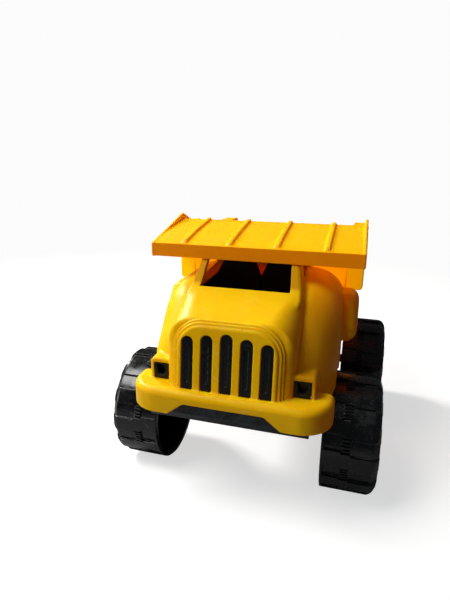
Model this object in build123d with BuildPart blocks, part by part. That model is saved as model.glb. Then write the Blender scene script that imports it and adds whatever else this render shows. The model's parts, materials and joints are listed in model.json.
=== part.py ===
from build123d import *
import os
from math import sin, cos, radians, hypot

# Toy dump truck.  Millimetres, +Z up, the truck's nose points to -Y.
# Origin: on the ground, under the middle of the overall length and width.
# "Left" and "right" are the truck's own sides: left is +X, right is -X.

os.makedirs("parts", exist_ok=True)

# ===========================================================================
# Driving dimensions
# ===========================================================================
sides = (1, -1)                 # sign of x: left, right
side_names = {1: "left", -1: "right"}

overall_length = 355.2
wheelbase = 174.6
front_axle_y = -84.4
rear_axle_y = front_axle_y + wheelbase
tail_y = overall_length / 2     # rear end of the dump bed

wall = 3.0                      # moulded wall thickness
run_clear = 0.06                # radial running clearance
press_clear = 0.01              # radial clearance of pressed parts

wheel_r = 54.7                  # over the tread bars; also the axle height
rear_offset = 7.5               # rear wheels stand this much further out
rod_r = 2.0                     # steel axle rods
web_x = 118.8                   # outer face of a front wheel's web

deck_z = 96.0                   # underside of the chassis deck
deck_t = 3.0
deck_top = deck_z + deck_t
deck_gap = 0.05                 # between the deck and what sits on it

hinge_y = front_axle_y + 213.0
hinge_z = 103.5
pin_r = 2.0

# screw places (x, y), shared by the chassis and the parts it carries
rear_screw_y = front_axle_y + 50
front_screw_spots = [(side * 28, front_axle_y - 48) for side in sides]
cab_screw_spots = front_screw_spots + [(side * 45.5, rear_screw_y) for side in sides]
seat_screw_spots = [(side * 24, front_axle_y + 12) for side in sides]
rear_post_x = 46.0              # square cab posts around the rear screws
post_r = 4.0                    # round screw posts
pilot_r = 1.55                  # screw bores in the posts

bumper_half = 85.5              # half width
bumper_bottom, bumper_top = 97.7, 118.5

# grille face: leans back, with five upright slots
nose_lean = radians(5.4)
face_y, face_z = front_axle_y - 85.6, 117.0
slot_w = 10.0
slot_pitch = 16.5
slot_bottom = 1.5               # above face_z along the face
# (slot number from the centre, z of its rounded top)
slot_tops = [(-2, 163.6), (-1, 165.8), (0, 168.2), (1, 165.8), (2, 163.6)]

# square headlight sockets
lamp_x, lamp_z = 60.25, 125.9
socket_size = 14.0


# ===========================================================================
# Helpers
# ===========================================================================
def from_axle(points):
    """Side-view points (y from the front axle, z) moved to the truck's frame."""
    return [(y + front_axle_y, z) for y, z in points]


def mirrored(points):
    """The other half of a front-view outline that runs from -X to +X or back."""
    return [(-x, z) for x, z in reversed(points)]


def span(side, inner, outer):
    """Low and high x of a feature between two distances from the centre."""
    return (inner, outer) if side > 0 else (-outer, -inner)


def front_plane(y):
    """Front-view plane at y; a positive extrusion runs towards the nose."""
    return Plane.XZ.offset(-y)


def polygon(plane, points):
    with BuildSketch(plane) as outline:
        with BuildLine():
            Polyline(*points, close=True)
        make_face()
    return outline.sketch


def yz_prism(points, x0, x1, mode=Mode.ADD):
    extrude(polygon(Plane.YZ.offset(x0), points), amount=x1 - x0, mode=mode)


def xz_prism(points, y0, y1, mode=Mode.ADD):
    extrude(polygon(front_plane(y0), points), amount=-(y1 - y0), mode=mode)


def yz_disc(y, z, radius, x0, x1, mode=Mode.ADD):
    with BuildSketch(Plane.YZ.offset(x0)) as disc:
        with Locations((y, z)):
            Circle(radius)
    extrude(disc.sketch, amount=x1 - x0, mode=mode)


def slab(x, y, width, depth, z0, height, mode=Mode.ADD):
    """Upright block centred on (x, y), standing on z0."""
    with BuildSketch(Plane.XY.offset(z0)) as base:
        with Locations((x, y)):
            Rectangle(width, depth)
    extrude(base.sketch, amount=height, mode=mode)


def upright_rod(x, y, z_mid, radius, height, mode=Mode.ADD):
    with Locations((x, y, z_mid)):
        Cylinder(radius, height, mode=mode)


def cross_rod(y, z, radius, length, mode=Mode.ADD):
    """Cylinder along X, centred on the truck."""
    with Locations(Location((0, y, z), (0, 90, 0))):
        Cylinder(radius, length, mode=mode)


def shrink(points, distance):
    """Closed polygon, in either winding, moved inwards."""
    count = len(points)
    area = sum(points[i][0] * points[(i + 1) % count][1]
               - points[(i + 1) % count][0] * points[i][1] for i in range(count))
    turn = 1.0 if area > 0 else -1.0
    moved = []
    for i in range(count):
        before, here, after = points[i - 1], points[i], points[(i + 1) % count]
        normals = []
        for start, end in ((before, here), (here, after)):
            length = hypot(end[0] - start[0], end[1] - start[1])
            normals.append((-(end[1] - start[1]) / length * turn,
                            (end[0] - start[0]) / length * turn))
        (ax, ay), (bx, by) = normals
        scale = 1 + ax * bx + ay * by
        moved.append((here[0] + distance * (ax + bx) / scale,
                      here[1] + distance * (ay + by) / scale))
    return moved


def side_dome(points, stations, side, mode=Mode.ADD):
    """Ruled body through side-view sections; stations are (distance out, inset)."""
    sections = [polygon(Plane.YZ.offset(side * x), shrink(points, inset))
                for x, inset in stations]
    loft(sections, ruled=True, mode=mode)


def dome_stations(inner, straight_to, outer, depth, steps=5):
    """Stations that stay straight, then draw in by depth along a quarter ellipse."""
    stations = [(inner, 0.0), (straight_to, 0.0)]
    for i in range(1, steps + 1):
        a = radians(90 * i / steps)
        stations.append((straight_to + (outer - straight_to) * sin(a),
                         depth * (1 - cos(a))))
    return stations


def arch(half, base, top, radius, steps=6):
    """Front-view arch: straight sides, flat top, round shoulders."""
    right_side = [(-half, base)]
    for i in range(steps + 1):
        a = radians(180 - 90 * i / steps)
        right_side.append((-half + radius + radius * cos(a), top - radius + radius * sin(a)))
    return right_side + mirrored(right_side)


def grille_plane(setback=0.0):
    """Plane of the grille moved back; local x is X and local y is up the face."""
    face = Plane(origin=(0, face_y, face_z), x_dir=(1, 0, 0),
                 z_dir=(0, -cos(nose_lean), sin(nose_lean)))
    return face.offset(-setback)


def slot_sketch(number, top, gap=0.0, setback=0.0):
    """Round-topped grille slot, drawn in by gap on every side."""
    arc_y = (top - face_z) / cos(nose_lean) - slot_w / 2
    with BuildSketch(grille_plane(setback)) as slot:
        with Locations((number * slot_pitch, (slot_bottom + arc_y) / 2 + gap / 2)):
            Rectangle(slot_w - 2 * gap, arc_y - slot_bottom - gap)
        with Locations((number * slot_pitch, arc_y)):
            Circle(slot_w / 2 - gap)
    return slot.sketch


def save(part, name):
    part.label = name
    export_step(part, "parts/%s.step" % name)


# ===========================================================================
# Cab body: one moulded shell with bumper, nose, hood, two fenders that sweep
# up to the back of the cab, side tanks, window pillars and roof.
# ===========================================================================
# Side views are (y from the front axle, z).
# Fender: upright front, sloping shoulder, nearly flat crown at the rear
fender_side = from_axle([
    (-67, 96), (-67, 126), (-64.5, 140), (-56, 153), (-44, 164.5), (-32, 176),
    (-20, 185), (-4, 191), (20, 195.5), (66, 197), (66, 96)])
fender_half = 84.0
# plan of the opening below the fender: (distance from the centre, y from the axle)
fender_opening = [(52, 63), (52, -63.9), (60, -62.5), (70, -56), (77, -46), (81, -36),
                  (81, 63)]
wheel_arch_r = 60.0

tank_side = from_axle([
    (18, 137), (14, 141), (16, 150), (38, 174), (44, 177), (69, 177), (72, 174),
    (72, 140), (69, 137)])
tank_half = 98.0
# (distance from the centre, inset of the outline)
tank_stations = [(76, 0), (88, 0), (93, 1.2), (96.5, 4.0), (tank_half, 8.0)]
tank_hollow_stations = [(x, wall + inset) for x, inset in
                        ((75.0, 0.0), (88.0, 0.0), (92.5, 1.4), (95.0, 4.5))]

lamp_housing_side = from_axle([
    (-72, 112), (-72, 136.5), (-70.5, 138), (-46, 143), (-46, 112)])
roof_side = from_axle([
    (-29, 189), (-29, 191.7), (5.5, 213.0), (8, 214.6), (66, 214.6), (66, 189)])
roof_hollow_side = from_axle([
    (-24, 188), (-23.3, 191.7), (7.0, 210.4), (63, 210.4), (63, 188)])
side_window = from_axle([(5, 193.2), (24, 210.5), (53.4, 210.5), (50.5, 199.5)])

# hood: the crown at its front end rises with y, so the loft follows the slope
hood_front_half, hood_front_r = 54.0, 24.0
hood_rear_half, hood_rear_r = 53.0, 17.0
hood_rear_y, hood_rear_top = -26.0, 192.0      # y from the front axle
hood_slope = 0.3136

# stepped grille surround: (setback from the face, half width, top, shoulder radius)
nose_steps = [(3.8, 46.6, 177.1, 25.0), (1.9, 44.4, 175.4, 23.3), (0.0, 42.2, 173.6, 21.6)]


def bumper_plan(z, inset):
    """Plan outline of the bumper, drawn in by inset, round at the front corners."""
    half = bumper_half - inset
    rear = front_axle_y - 56 - inset
    front = front_axle_y - 93.2 + inset
    with BuildSketch(Plane.XY.offset(z)) as plan:
        with BuildLine():
            Polyline((-half, rear), (half, rear), (half, front), (-half, front), close=True)
        make_face()
        fillet(plan.vertices().sort_by(Axis.Y)[:2], 27 - inset)
    return plan.sketch


def hood_loft(inset, front, base, mode=Mode.ADD):
    """Ruled body between the nose arch and the windscreen base."""
    front_top = 178.2 + hood_slope * (front + 70.0)
    sections = []
    for y, half, top, radius in (
            (front, hood_front_half, front_top, hood_front_r),
            (hood_rear_y, hood_rear_half, hood_rear_top, hood_rear_r)):
        outline = arch(half - inset, base, top - inset, radius - inset)
        sections.append(polygon(front_plane(y + front_axle_y), outline))
    loft(sections, ruled=True, mode=mode)


def nose_block(outline, rear_y, reach, setback, trim):
    """Arch run forward from rear_y and cut off by the leaning face."""
    with BuildPart() as block:
        extrude(polygon(front_plane(rear_y), outline), amount=reach)
        with BuildSketch(grille_plane(setback)) as beyond:
            Rectangle(140, 220)
        extrude(beyond.sketch, amount=trim, mode=Mode.SUBTRACT)
    return block.part


def roof_hollow():
    """Space inside the pillars and roof, narrower at the top."""
    side_slope = [(-47.3, 187), (47.3, 187), (43.0, 212), (-43.0, 212)]
    with BuildPart() as space:
        yz_prism(roof_hollow_side, -46.6, 46.6)
        xz_prism(side_slope, front_axle_y - 30, front_axle_y + 67, mode=Mode.INTERSECT)
    return space.part


def add_cab_body(nose_surrounds):
    """Solid outline of the cab above the bumper."""
    for side in sides:
        side_dome(fender_side, dome_stations(49.0, 56.0, fender_half, 27.0), side)
    hood_loft(0, front=-74.5, base=98.0)
    for surround in nose_surrounds:
        add(surround)
    for side in sides:
        yz_prism(lamp_housing_side, *span(side, 50.0, 71.0))
    for side in sides:
        side_dome(tank_side, tank_stations, side)
    # body between the fenders
    slab(0, front_axle_y + 19.5, 104, 93, z0=96, height=96)
    # windscreen pillars, roof and back wall, with the sides leaning in
    yz_prism(roof_side, -49.6, 49.6)
    for side in sides:
        xz_prism([(side * 49.7, 190), (side * 53, 190), (side * 53, 216), (side * 45.4, 216)],
                 front_axle_y - 30, front_axle_y + 67, mode=Mode.SUBTRACT)


def cut_fender_and_tank(side):
    # the hollow's lower edge is dropped so that it opens downwards
    hollow_side = [(y, 80.0 if z < 105 else z) for y, z in shrink(fender_side, wall)]
    side_dome(hollow_side, dome_stations(52.0, 57.0, 81.0, 26.0), side, mode=Mode.SUBTRACT)
    opening = [(side * x, y + front_axle_y) for x, y in fender_opening]
    extrude(polygon(Plane.XY.offset(80), opening), amount=60, mode=Mode.SUBTRACT)
    # tank hollow, joined to the fender hollow
    side_dome(tank_side, tank_hollow_stations, side, mode=Mode.SUBTRACT)
    yz_disc(front_axle_y, wheel_r, wheel_arch_r, side * 73, side * 93, mode=Mode.SUBTRACT)


def cut_cab_hollows(nose_hollow, roof_space):
    for side in sides:
        cut_fender_and_tank(side)
    extrude(bumper_plan(90, wall), amount=bumper_top - wall - 90, mode=Mode.SUBTRACT)
    add(nose_hollow, mode=Mode.SUBTRACT)
    hood_loft(wall, front=-70.5, base=85.0, mode=Mode.SUBTRACT)
    # cabin
    slab(0, front_axle_y + 18.0, 95, 90, z0=80, height=111.0, mode=Mode.SUBTRACT)
    add(roof_space, mode=Mode.SUBTRACT)


def cut_cab_openings():
    # windscreen
    xz_prism([(-40.5, 192.0), (40.5, 192.0), (39.8, 210.5), (-39.8, 210.5)],
             front_axle_y - 40, front_axle_y + 10, mode=Mode.SUBTRACT)
    yz_prism(side_window, -60, 60, mode=Mode.SUBTRACT)
    # raised middle of the bumper's lower edge
    raised_edge = [(-47.2, 80), (-47.2, bumper_bottom), (-33.5, 108.2)]
    xz_prism(raised_edge + mirrored(raised_edge), front_axle_y - 96, front_axle_y - 50,
             mode=Mode.SUBTRACT)
    for number, top in slot_tops:
        extrude(slot_sketch(number, top), amount=-8, both=True, mode=Mode.SUBTRACT)
    for side in sides:
        with BuildSketch(front_plane(front_axle_y - 77.0)) as socket:
            with Locations((side * lamp_x, lamp_z)):
                Rectangle(socket_size, socket_size)
        extrude(socket.sketch, amount=-17.0, mode=Mode.SUBTRACT)


def add_cab_posts():
    front_post_top = 183.3
    for x, y in front_screw_spots:
        upright_rod(x, y, (deck_top + front_post_top) / 2, post_r, front_post_top - deck_top)
        upright_rod(x, y, 110, pilot_r, 60, mode=Mode.SUBTRACT)
    for x, y in cab_screw_spots[2:]:
        post_x = rear_post_x if x > 0 else -rear_post_x
        slab(post_x, y, 8, 8, z0=deck_top, height=30)
        upright_rod(x, y, 100, pilot_r, 40, mode=Mode.SUBTRACT)


def build_cab_shell():
    nose_surrounds = [nose_block(arch(half, 114.0, top, radius), front_axle_y - 66,
                                 reach=25.0, setback=setback, trim=25)
                      for setback, half, top, radius in nose_steps]
    _, half, top, radius = nose_steps[-1]
    nose_hollow = nose_block(arch(half - wall, 90.0, top - wall, radius - wall),
                             front_axle_y - 60, reach=40, setback=wall, trim=45)
    roof_space = roof_hollow()

    with BuildPart() as shell:
        extrude(bumper_plan(bumper_bottom, 0), amount=bumper_top - bumper_bottom)
        front_rim = shell.faces().sort_by(Axis.Z)[-1].edges().filter_by(
            lambda edge: edge.center().Y < front_axle_y - 57)
        fillet(front_rim, 6.0)
        add_cab_body(nose_surrounds)
        cut_cab_hollows(nose_hollow, roof_space)
        cut_cab_openings()
        add_cab_posts()
        # the lower edge rises over the chassis deck
        slab(0, front_axle_y + 55, 101.6, 25, z0=85, height=deck_top + deck_gap - 85,
             mode=Mode.SUBTRACT)
    return shell.part


save(build_cab_shell(), "cab_shell")


# ===========================================================================
# Grille insert: five upright bars that fill the slots from behind, on a plate
# ===========================================================================
def build_grille_insert():
    with BuildPart() as insert:
        for number, top in slot_tops:
            extrude(slot_sketch(number, top, gap=0.2, setback=4.4), amount=4.1)
        with BuildSketch(grille_plane(setback=3.2)) as plate:
            with Locations((0, 18.5)):
                RectangleRounded(78, 39, 6)
        extrude(plate.sketch, amount=-2.0)
    return insert.part


save(build_grille_insert(), "grille_insert")


# ===========================================================================
# Headlight bezels: square frames with a U-shaped mouth, clipped in sockets
# ===========================================================================
def build_bezel(side):
    frame_size = socket_size - 0.3
    mouth_r, mouth_z = 3.7, 127.0
    x = side * lamp_x
    with BuildPart() as bezel:
        with BuildSketch(front_plane(front_axle_y - 73.4)) as frame:
            with Locations((x, lamp_z)):
                RectangleRounded(frame_size, frame_size, 1.2)
            with Locations((x, mouth_z)):
                Circle(mouth_r, mode=Mode.SUBTRACT)
            with Locations((x, mouth_z + 3)):
                Rectangle(2 * mouth_r, 6.0, mode=Mode.SUBTRACT)
        extrude(frame.sketch, amount=-9.0)
        # bar across the top of the mouth
        with Locations((x, front_axle_y - 70.6, 131.8)):
            Box(12.0, 1.8, 1.6)
        with BuildSketch(front_plane(front_axle_y - 66.4)) as back:
            with Locations((x, lamp_z)):
                Rectangle(13.0, 13.0)
        extrude(back.sketch, amount=-2.0)
    return bezel.part


for side in sides:
    save(build_bezel(side), "headlight_bezel_%s" % side_names[side])


# ===========================================================================
# Seat unit: tub floor, two cushions and two tapered seat backs in one piece
# ===========================================================================
tub_y = front_axle_y + 11.5
tub_width, tub_depth = 94, 73
tub_wall = 2.5
seat_base_z = deck_top + deck_gap
seat_z = 157                    # underside of the cushions and top of the legs
tub_flank_side = from_axle([(-25, seat_z), (-25, 186.5), (48, 189.1), (48, seat_z)])
# left half of both seat backs in front view, (x, z)
seat_back_half = [(47, seat_z), (47, 187), (45.5, 190.5), (38.5, 205.5), (36.0, 207),
                  (9.5, 207), (7.6, 205.5), (0.6, 188.6)]


def build_seat_unit():
    with BuildPart() as seats:
        slab(0, tub_y, tub_width, tub_depth, z0=seat_base_z, height=59)
        slab(0, tub_y, tub_width - 2 * tub_wall, tub_depth - 2 * tub_wall, z0=90,
             height=65.5, mode=Mode.SUBTRACT)
        for side in sides:
            yz_prism(tub_flank_side, *span(side, 44.4, 47.0))
        xz_prism(seat_back_half + mirrored(seat_back_half),
                 front_axle_y + 41.5, front_axle_y + 48)
        for side, (x, y) in zip(sides, seat_screw_spots):
            with BuildSketch(Plane.XY.offset(seat_z)) as cushion:
                with Locations((side * 23.2, front_axle_y + 24)):
                    RectangleRounded(42, 36, 5)
            extrude(cushion.sketch, amount=12)
            # screw leg down to the deck
            upright_rod(x, y, (seat_base_z + seat_z) / 2, post_r, seat_z - seat_base_z)
            upright_rod(x, y, 108, pilot_r, 44, mode=Mode.SUBTRACT)
        # the tub clears the two rear screw posts of the cab
        for side in sides:
            with Locations((side * rear_post_x, rear_screw_y, 114)):
                Box(11, 13, 34, mode=Mode.SUBTRACT)
    return seats.part


save(build_seat_unit(), "seat_unit")

# ===========================================================================
# Chassis: deck, two rails, front beam, axle bosses and hinge ears
# ===========================================================================
rail_inner_x, rail_outer_x = 37.0, 40.0
# side views, (y from the front axle, z)
rail_side = from_axle([
    (-74, 99), (-74, 88.5), (-44, 70), (-17, 48.5), (17, 48.5), (44, 64),
    (130, 64), (158, 46), (191, 46), (221, 90), (221, 99)])
beam_side = from_axle([(-86.5, 96.6), (-86.5, 107), (-72, 107), (-72, 87.3), (-79, 87.3)])
beam_hollow_side = from_axle([(-83.5, 97.0), (-83.5, 110), (-75, 110), (-75, 90.3),
                              (-78, 90.3)])
axle_bosses = [(front_axle_y, 7.5), (rear_axle_y, 8.5)]           # (y, radius)
cross_webs = [(-36, 70), (60, 66), (120, 66), (205, 84)]  # (y from front axle, lower z)


def add_chassis_side(side):
    """Rail, hinge ear and the two axle bosses of one side."""
    x0, x1 = span(side, rail_inner_x, rail_outer_x)
    yz_prism(rail_side, x0, x1)
    # hinge ear, rounded about the pin
    with BuildSketch(Plane.YZ.offset(x0)) as ear:
        with Locations((hinge_y, hinge_z)):
            Circle(8.0)
        with Locations((hinge_y, hinge_z - 6)):
            Rectangle(16, 12)
    extrude(ear.sketch, amount=x1 - x0)
    for y, radius in axle_bosses:
        yz_disc(y, wheel_r, radius, *span(side, 38.0, 72.0))
        # upright gusset from the deck to the boss
        xz_prism([(side * 38, deck_top), (side * 44, deck_top),
                  (side * 71, wheel_r + radius - 2), (side * 71, wheel_r),
                  (side * 38, wheel_r)], y - 1.5, y + 1.5)


def build_chassis():
    with BuildPart() as chassis:
        # deck, with ears out to the rear cab screws
        with BuildSketch(Plane.XY.offset(deck_z)) as deck:
            with Locations((0, front_axle_y + 66)):
                Rectangle(80, 280)
            with Locations((0, rear_screw_y)):
                Rectangle(101, 13)
        extrude(deck.sketch, amount=deck_t)
        for side in sides:
            add_chassis_side(side)
        # front beam below the bumper, lower front edge cut back
        yz_prism(beam_side, -68, 68)
        yz_prism(beam_hollow_side, -65, 65, mode=Mode.SUBTRACT)
        with Locations((0, front_axle_y - 73, 97)):
            Box(80, 4, 20)
        # cross webs between the rails
        for y, low_z in cross_webs:
            with Locations((0, y + front_axle_y, (low_z + deck_z) / 2)):
                Box(75, 2.5, deck_z - low_z)
        # rest pads for the bed
        for side in sides:
            with Locations((side * 26, front_axle_y + 92, 107.2)):
                Box(10, 16, 16.6)
        # axle bores, hinge pin bores, screw holes
        for y in (front_axle_y, rear_axle_y):
            cross_rod(y, wheel_r, rod_r + run_clear, 160, mode=Mode.SUBTRACT)
        cross_rod(hinge_y, hinge_z, pin_r + press_clear, 90, mode=Mode.SUBTRACT)
        for x, y in cab_screw_spots + seat_screw_spots:
            upright_rod(x, y, deck_z, 1.9, 12, mode=Mode.SUBTRACT)
    return chassis.part


save(build_chassis(), "chassis")

# ===========================================================================
# Screws: pan-head self-tapping, up through the deck
# ===========================================================================
screw_head_t = 2.4
# half profile: (radius, height above the bottom of the head)
screw_profile = [(0, 0), (1.2, 0), (1.2, 0.9), (3.0, 0.9), (3.2, 1.3), (3.2, screw_head_t),
                 (1.5, screw_head_t), (1.5, 12.0), (0.4, 14.4), (0, 14.4)]


def build_screws(spots):
    with BuildPart() as screws:
        screw = revolve(polygon(Plane.XZ, screw_profile), Axis.Z, mode=Mode.PRIVATE)
        for x, y in spots:
            add(Pos(x, y, deck_z - screw_head_t) * screw)
    return screws.part


save(build_screws(cab_screw_spots), "cab_screws")
save(build_screws(seat_screw_spots), "seat_screws")


# ===========================================================================
# Axles, bed hinge pin and the axles' push-on caps
# ===========================================================================
# (name, axle y, outward offset of its wheels)
axle_sets = [("front", front_axle_y, 0.0), ("rear", rear_axle_y, rear_offset)]
# domed steel cap: (x out from its inboard face, radius)
cap_profile = [(0, 3.6), (0, 6.4), (0.7, 6.4), (1.4, 5.2), (3.0, 4.2), (4.2, 2.4), (4.6, 0),
               (3.0, 0), (3.0, rod_r + press_clear), (0, rod_r + press_clear)]


def build_rod(y, z, radius, length, bevel):
    """Rod along X with bevelled ends."""
    with BuildPart() as rod:
        cross_rod(y, z, radius, length)
        chamfer(rod.edges().filter_by(GeomType.CIRCLE), bevel)
    return rod.part


def build_push_cap(side, inboard_x, y):
    with BuildPart() as cap:
        body = revolve(polygon(Plane.XY, cap_profile), Axis.X, mode=Mode.PRIVATE)
        if side < 0:
            body = mirror(body, Plane.YZ, mode=Mode.PRIVATE)
        add(Pos(side * inboard_x, y, wheel_r) * body)
    return cap.part


for place, y, offset in axle_sets:
    save(build_rod(y, wheel_r, rod_r, 2 * (web_x + offset + 2.6), bevel=0.5),
         "%s_axle" % place)
    for side in sides:
        save(build_push_cap(side, web_x + offset + 0.3, y),
             "axle_cap_%s_%s" % (place, side_names[side]))
save(build_rod(hinge_y, hinge_z, pin_r, 86.0, bevel=0.4), "hinge_pin")

# ===========================================================================
# Wheels: hollow one-piece mouldings, open inboard, with barred tread
# ===========================================================================
wheel_inner_x = 76.6            # inboard face of a front wheel
wheel_width = 48.9
wheel_outer_x = wheel_inner_x + wheel_width
tread_root_r = 52.5
bar_root_r = 51.5               # bars and ribs start inside the tread
tread_outer_x = 120.4           # the shoulder begins here
inner_band_x, outer_band_x = 93.0, 101.0       # limits of the centre band
hub_x = 74.0
bore_r = rod_r + run_clear
bars = 12
bar_pitch = 360 / bars
bar_half_angle = 7.6
inner_rim_r = wheel_r - 0.25
# half profile of the left wheel: (x, radius)
wheel_profile = [
    (wheel_inner_x, 49.4), (wheel_inner_x, inner_rim_r), (wheel_inner_x + 2.6, inner_rim_r),
    (wheel_inner_x + 2.6, tread_root_r), (tread_outer_x, tread_root_r),
    (wheel_outer_x, 47.6), (wheel_outer_x, 40.6), (web_x, 36.5), (web_x, bore_r),
    (hub_x, bore_r), (hub_x, 5.2), (115.4, 6.2), (115.4, 35.0), (121.6, 39.0),
    (121.9, 45.5), (118.0, 49.4)]
# cut outside the sloping shoulder: (x, radius)
shoulder_cut = [(119.9, wheel_r + 0.01), (wheel_outer_x + 0.01, 49.0),
                (wheel_outer_x + 0.01, 60), (119.9, 60)]
# tread bars: (x from, x to, root radius, stagger in degrees); the centre band
# bridges the staggered inner and outer bands, the last is cut back to the shoulder
bar_bands = [(wheel_inner_x, inner_band_x, bar_root_r, 0.0),
             (inner_band_x, outer_band_x, bar_root_r, 2.0),
             (outer_band_x, tread_outer_x, bar_root_r, 4.0),
             (tread_outer_x, wheel_outer_x, 45.0, 4.0)]


def ring_sector(inner_r, outer_r, start, end, steps):
    """Outline of a ring sector between two angles in degrees."""
    outer = [radians(start + (end - start) * i / steps) for i in range(steps + 1)]
    inner = [radians(end + (start - end) * i / steps) for i in range(steps + 1)]
    return ([(outer_r * cos(a), outer_r * sin(a)) for a in outer]
            + [(inner_r * cos(a), inner_r * sin(a)) for a in inner])


def add_sectors(x0, length, inner_r, outer_r, centres, half_angle, steps):
    """Ring sectors about the wheel's axis, one at each centre angle."""
    with BuildSketch(Plane.YZ.offset(x0)) as band:
        for centre in centres:
            with BuildLine():
                Polyline(*ring_sector(inner_r, outer_r, centre - half_angle,
                                      centre + half_angle, steps), close=True)
            make_face()
    extrude(band.sketch, amount=length)


def build_left_wheel():
    """Front left wheel about the X axis."""
    with BuildPart() as wheel:
        revolve(polygon(Plane.XY, wheel_profile), Axis.X)
        for x0, x1, root_r, stagger in bar_bands:
            centres = [i * bar_pitch + stagger for i in range(bars)]
            add_sectors(x0, x1 - x0, root_r, wheel_r, centres, bar_half_angle, steps=4)
        revolve(polygon(Plane.XY, shoulder_cut), Axis.X, mode=Mode.SUBTRACT)
        # fine ribs across the centre band, between the bars
        centres = [(i + 0.5) * bar_pitch + 2.0 + j * 3.3
                   for i in range(bars) for j in (-1.5, -0.5, 0.5, 1.5)]
        add_sectors(93.6, 6.8, bar_root_r, wheel_r - 0.6, centres, 0.75, steps=1)
        # stiffening ribs inboard of the web and bolt heads on its outer face
        with BuildSketch(Plane.YZ.offset(103.0)) as spokes:
            with PolarLocations(20.0, 6):
                Rectangle(30.4, 2.2)
        extrude(spokes.sketch, amount=12.5)
        with BuildSketch(Plane.YZ.offset(web_x)) as studs:
            with PolarLocations(22.0, 6):
                RegularPolygon(4.0, 6)
        extrude(studs.sketch, amount=1.8)
    return wheel.part


def place_wheel(base, x, y, turn):
    with BuildPart() as wheel:
        add(Pos(x, y, wheel_r) * Rot(turn, 0, 0) * base)
    return wheel.part


left_wheel = build_left_wheel()
wheel_bases = {1: left_wheel, -1: mirror(left_wheel, Plane.YZ)}
wheel_turns = {"front": -2.6, "rear": -13.6}   # degrees about the axle
for place, y, offset in axle_sets:
    for side in sides:
        save(place_wheel(wheel_bases[side], side * offset, y, wheel_turns[place]),
             "wheel_%s_%s" % (place, side_names[side]))

# ===========================================================================
# Dump bed: hopper, side rails with skirts, canopy over the cab, hinge lugs
# ===========================================================================
bed_half = 100.0                # half width over the bed rails
rail_inner = 84.0
wing_inner = 84.5
rail_top = 222.6
skirt_bottom = 173.0
skirt_corner_r = 4.5
hopper_bottom = 116.0
hopper_top_half, hopper_low_half = 87.5, 80.0  # half widths at rail_top and the bottom
floor_bend_y = front_axle_y + 223              # the floor turns up from here
tail_floor_z = 149
canopy_front = front_axle_y - 1.0
canopy_rear = front_axle_y + 74.7
canopy_front_top = 223.9
front_wall_top = 238.8
lip_bottom = canopy_front_top - 12.8
apex_y, apex_z = front_axle_y + 77.5, 245.8    # peak of the gussets on the canopy

# top lines in side view, front to rear, (y from the front axle, z)
rail_line = from_axle([(74.7, 239.2), (100, 237.2), (150, rail_top), (262, rail_top)])
canopy_line = from_axle([
    (-1, canopy_front_top), (15, 228.2), (37, 232.6), (60, 236.4), (74.7, front_wall_top),
    (77.7, 239.2)])
hopper_space_side = from_axle([
    (70, hopper_bottom + wall), (222, hopper_bottom + wall), (264, 154.7), (264, 250),
    (70, 250)])
canopy_rib_x = (22.3, 66.9)


def hopper_outline(inset):
    """Front view of the hopper, wider at the top, sides drawn in by inset."""
    top = 242.0
    slope = (hopper_top_half - hopper_low_half) / (rail_top - hopper_bottom)
    low_half = hopper_low_half - inset
    top_half = low_half + slope * (top - hopper_bottom)
    return [(-low_half, hopper_bottom), (low_half, hopper_bottom),
            (top_half, top), (-top_half, top)]


def sheet(line):
    """Side view of a sheet one wall thick, hanging below a top line."""
    return line + [(y, z - wall) for y, z in reversed(line)]


def build_hopper_space():
    """Inside of the hopper: tapered sides, floor that turns up at the tail."""
    with BuildPart() as space:
        xz_prism(hopper_outline(wall), canopy_rear + wall, tail_y + 1)
        yz_prism(hopper_space_side, -110, 110, mode=Mode.INTERSECT)
    return space.part


def add_bed_side(side):
    """Rail flange, skirt, front wing plate and tail plate of one side."""
    yz_prism(sheet(rail_line), *span(side, rail_inner, bed_half))
    yz_prism(rail_line + [(tail_y, skirt_bottom), (canopy_rear, skirt_bottom)],
             *span(side, bed_half - wall, bed_half))
    for y0, y1, top in ((canopy_rear, canopy_rear + wall, front_wall_top),
                        (tail_y - wall, tail_y, rail_top)):
        xz_prism([(side * wing_inner, skirt_bottom), (side * bed_half, skirt_bottom),
                  (side * bed_half, top), (side * wing_inner, top)], y0, y1)


def add_canopy_side(side):
    """Side lip, gusset and ribs of the canopy, and the hinge lug, of one side."""
    edge = span(side, bed_half - wall, bed_half)
    # side lip below the canopy
    lip = [(canopy_front, lip_bottom), (canopy_rear + wall, lip_bottom)]
    yz_prism(lip + list(reversed(canopy_line)), *edge)
    # gusset above it
    yz_prism([canopy_line[0], (apex_y - 1.5, apex_z - 0.6), (apex_y, apex_z),
              (apex_y + 2.0, apex_z - 0.8), rail_line[1], (canopy_rear, 233)], *edge)
    rib_bottom = [(y, z - 1.0) for y, z in reversed(canopy_line)]
    rib_front = [(canopy_front + 3.0, canopy_front_top + 0.6),
                 (canopy_front + 5.0, canopy_front_top + 3.0)]
    rib_top = [(y, z + 2.4) for y, z in canopy_line[1:]]
    for x in canopy_rib_x:
        yz_prism(rib_bottom + rib_front + rib_top, side * x - 2.5, side * x + 2.5)
    # hinge lug under the floor
    lug_r = 7.5
    lug_top = hopper_bottom + 0.5
    lug_span = span(side, 30.5, 36.5)
    yz_prism([(hinge_y - lug_r, hinge_z), (hinge_y - 12, lug_top), (hinge_y + 10, lug_top),
              (hinge_y + lug_r, hinge_z)], *lug_span)
    yz_disc(hinge_y, hinge_z, lug_r, *lug_span)


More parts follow.
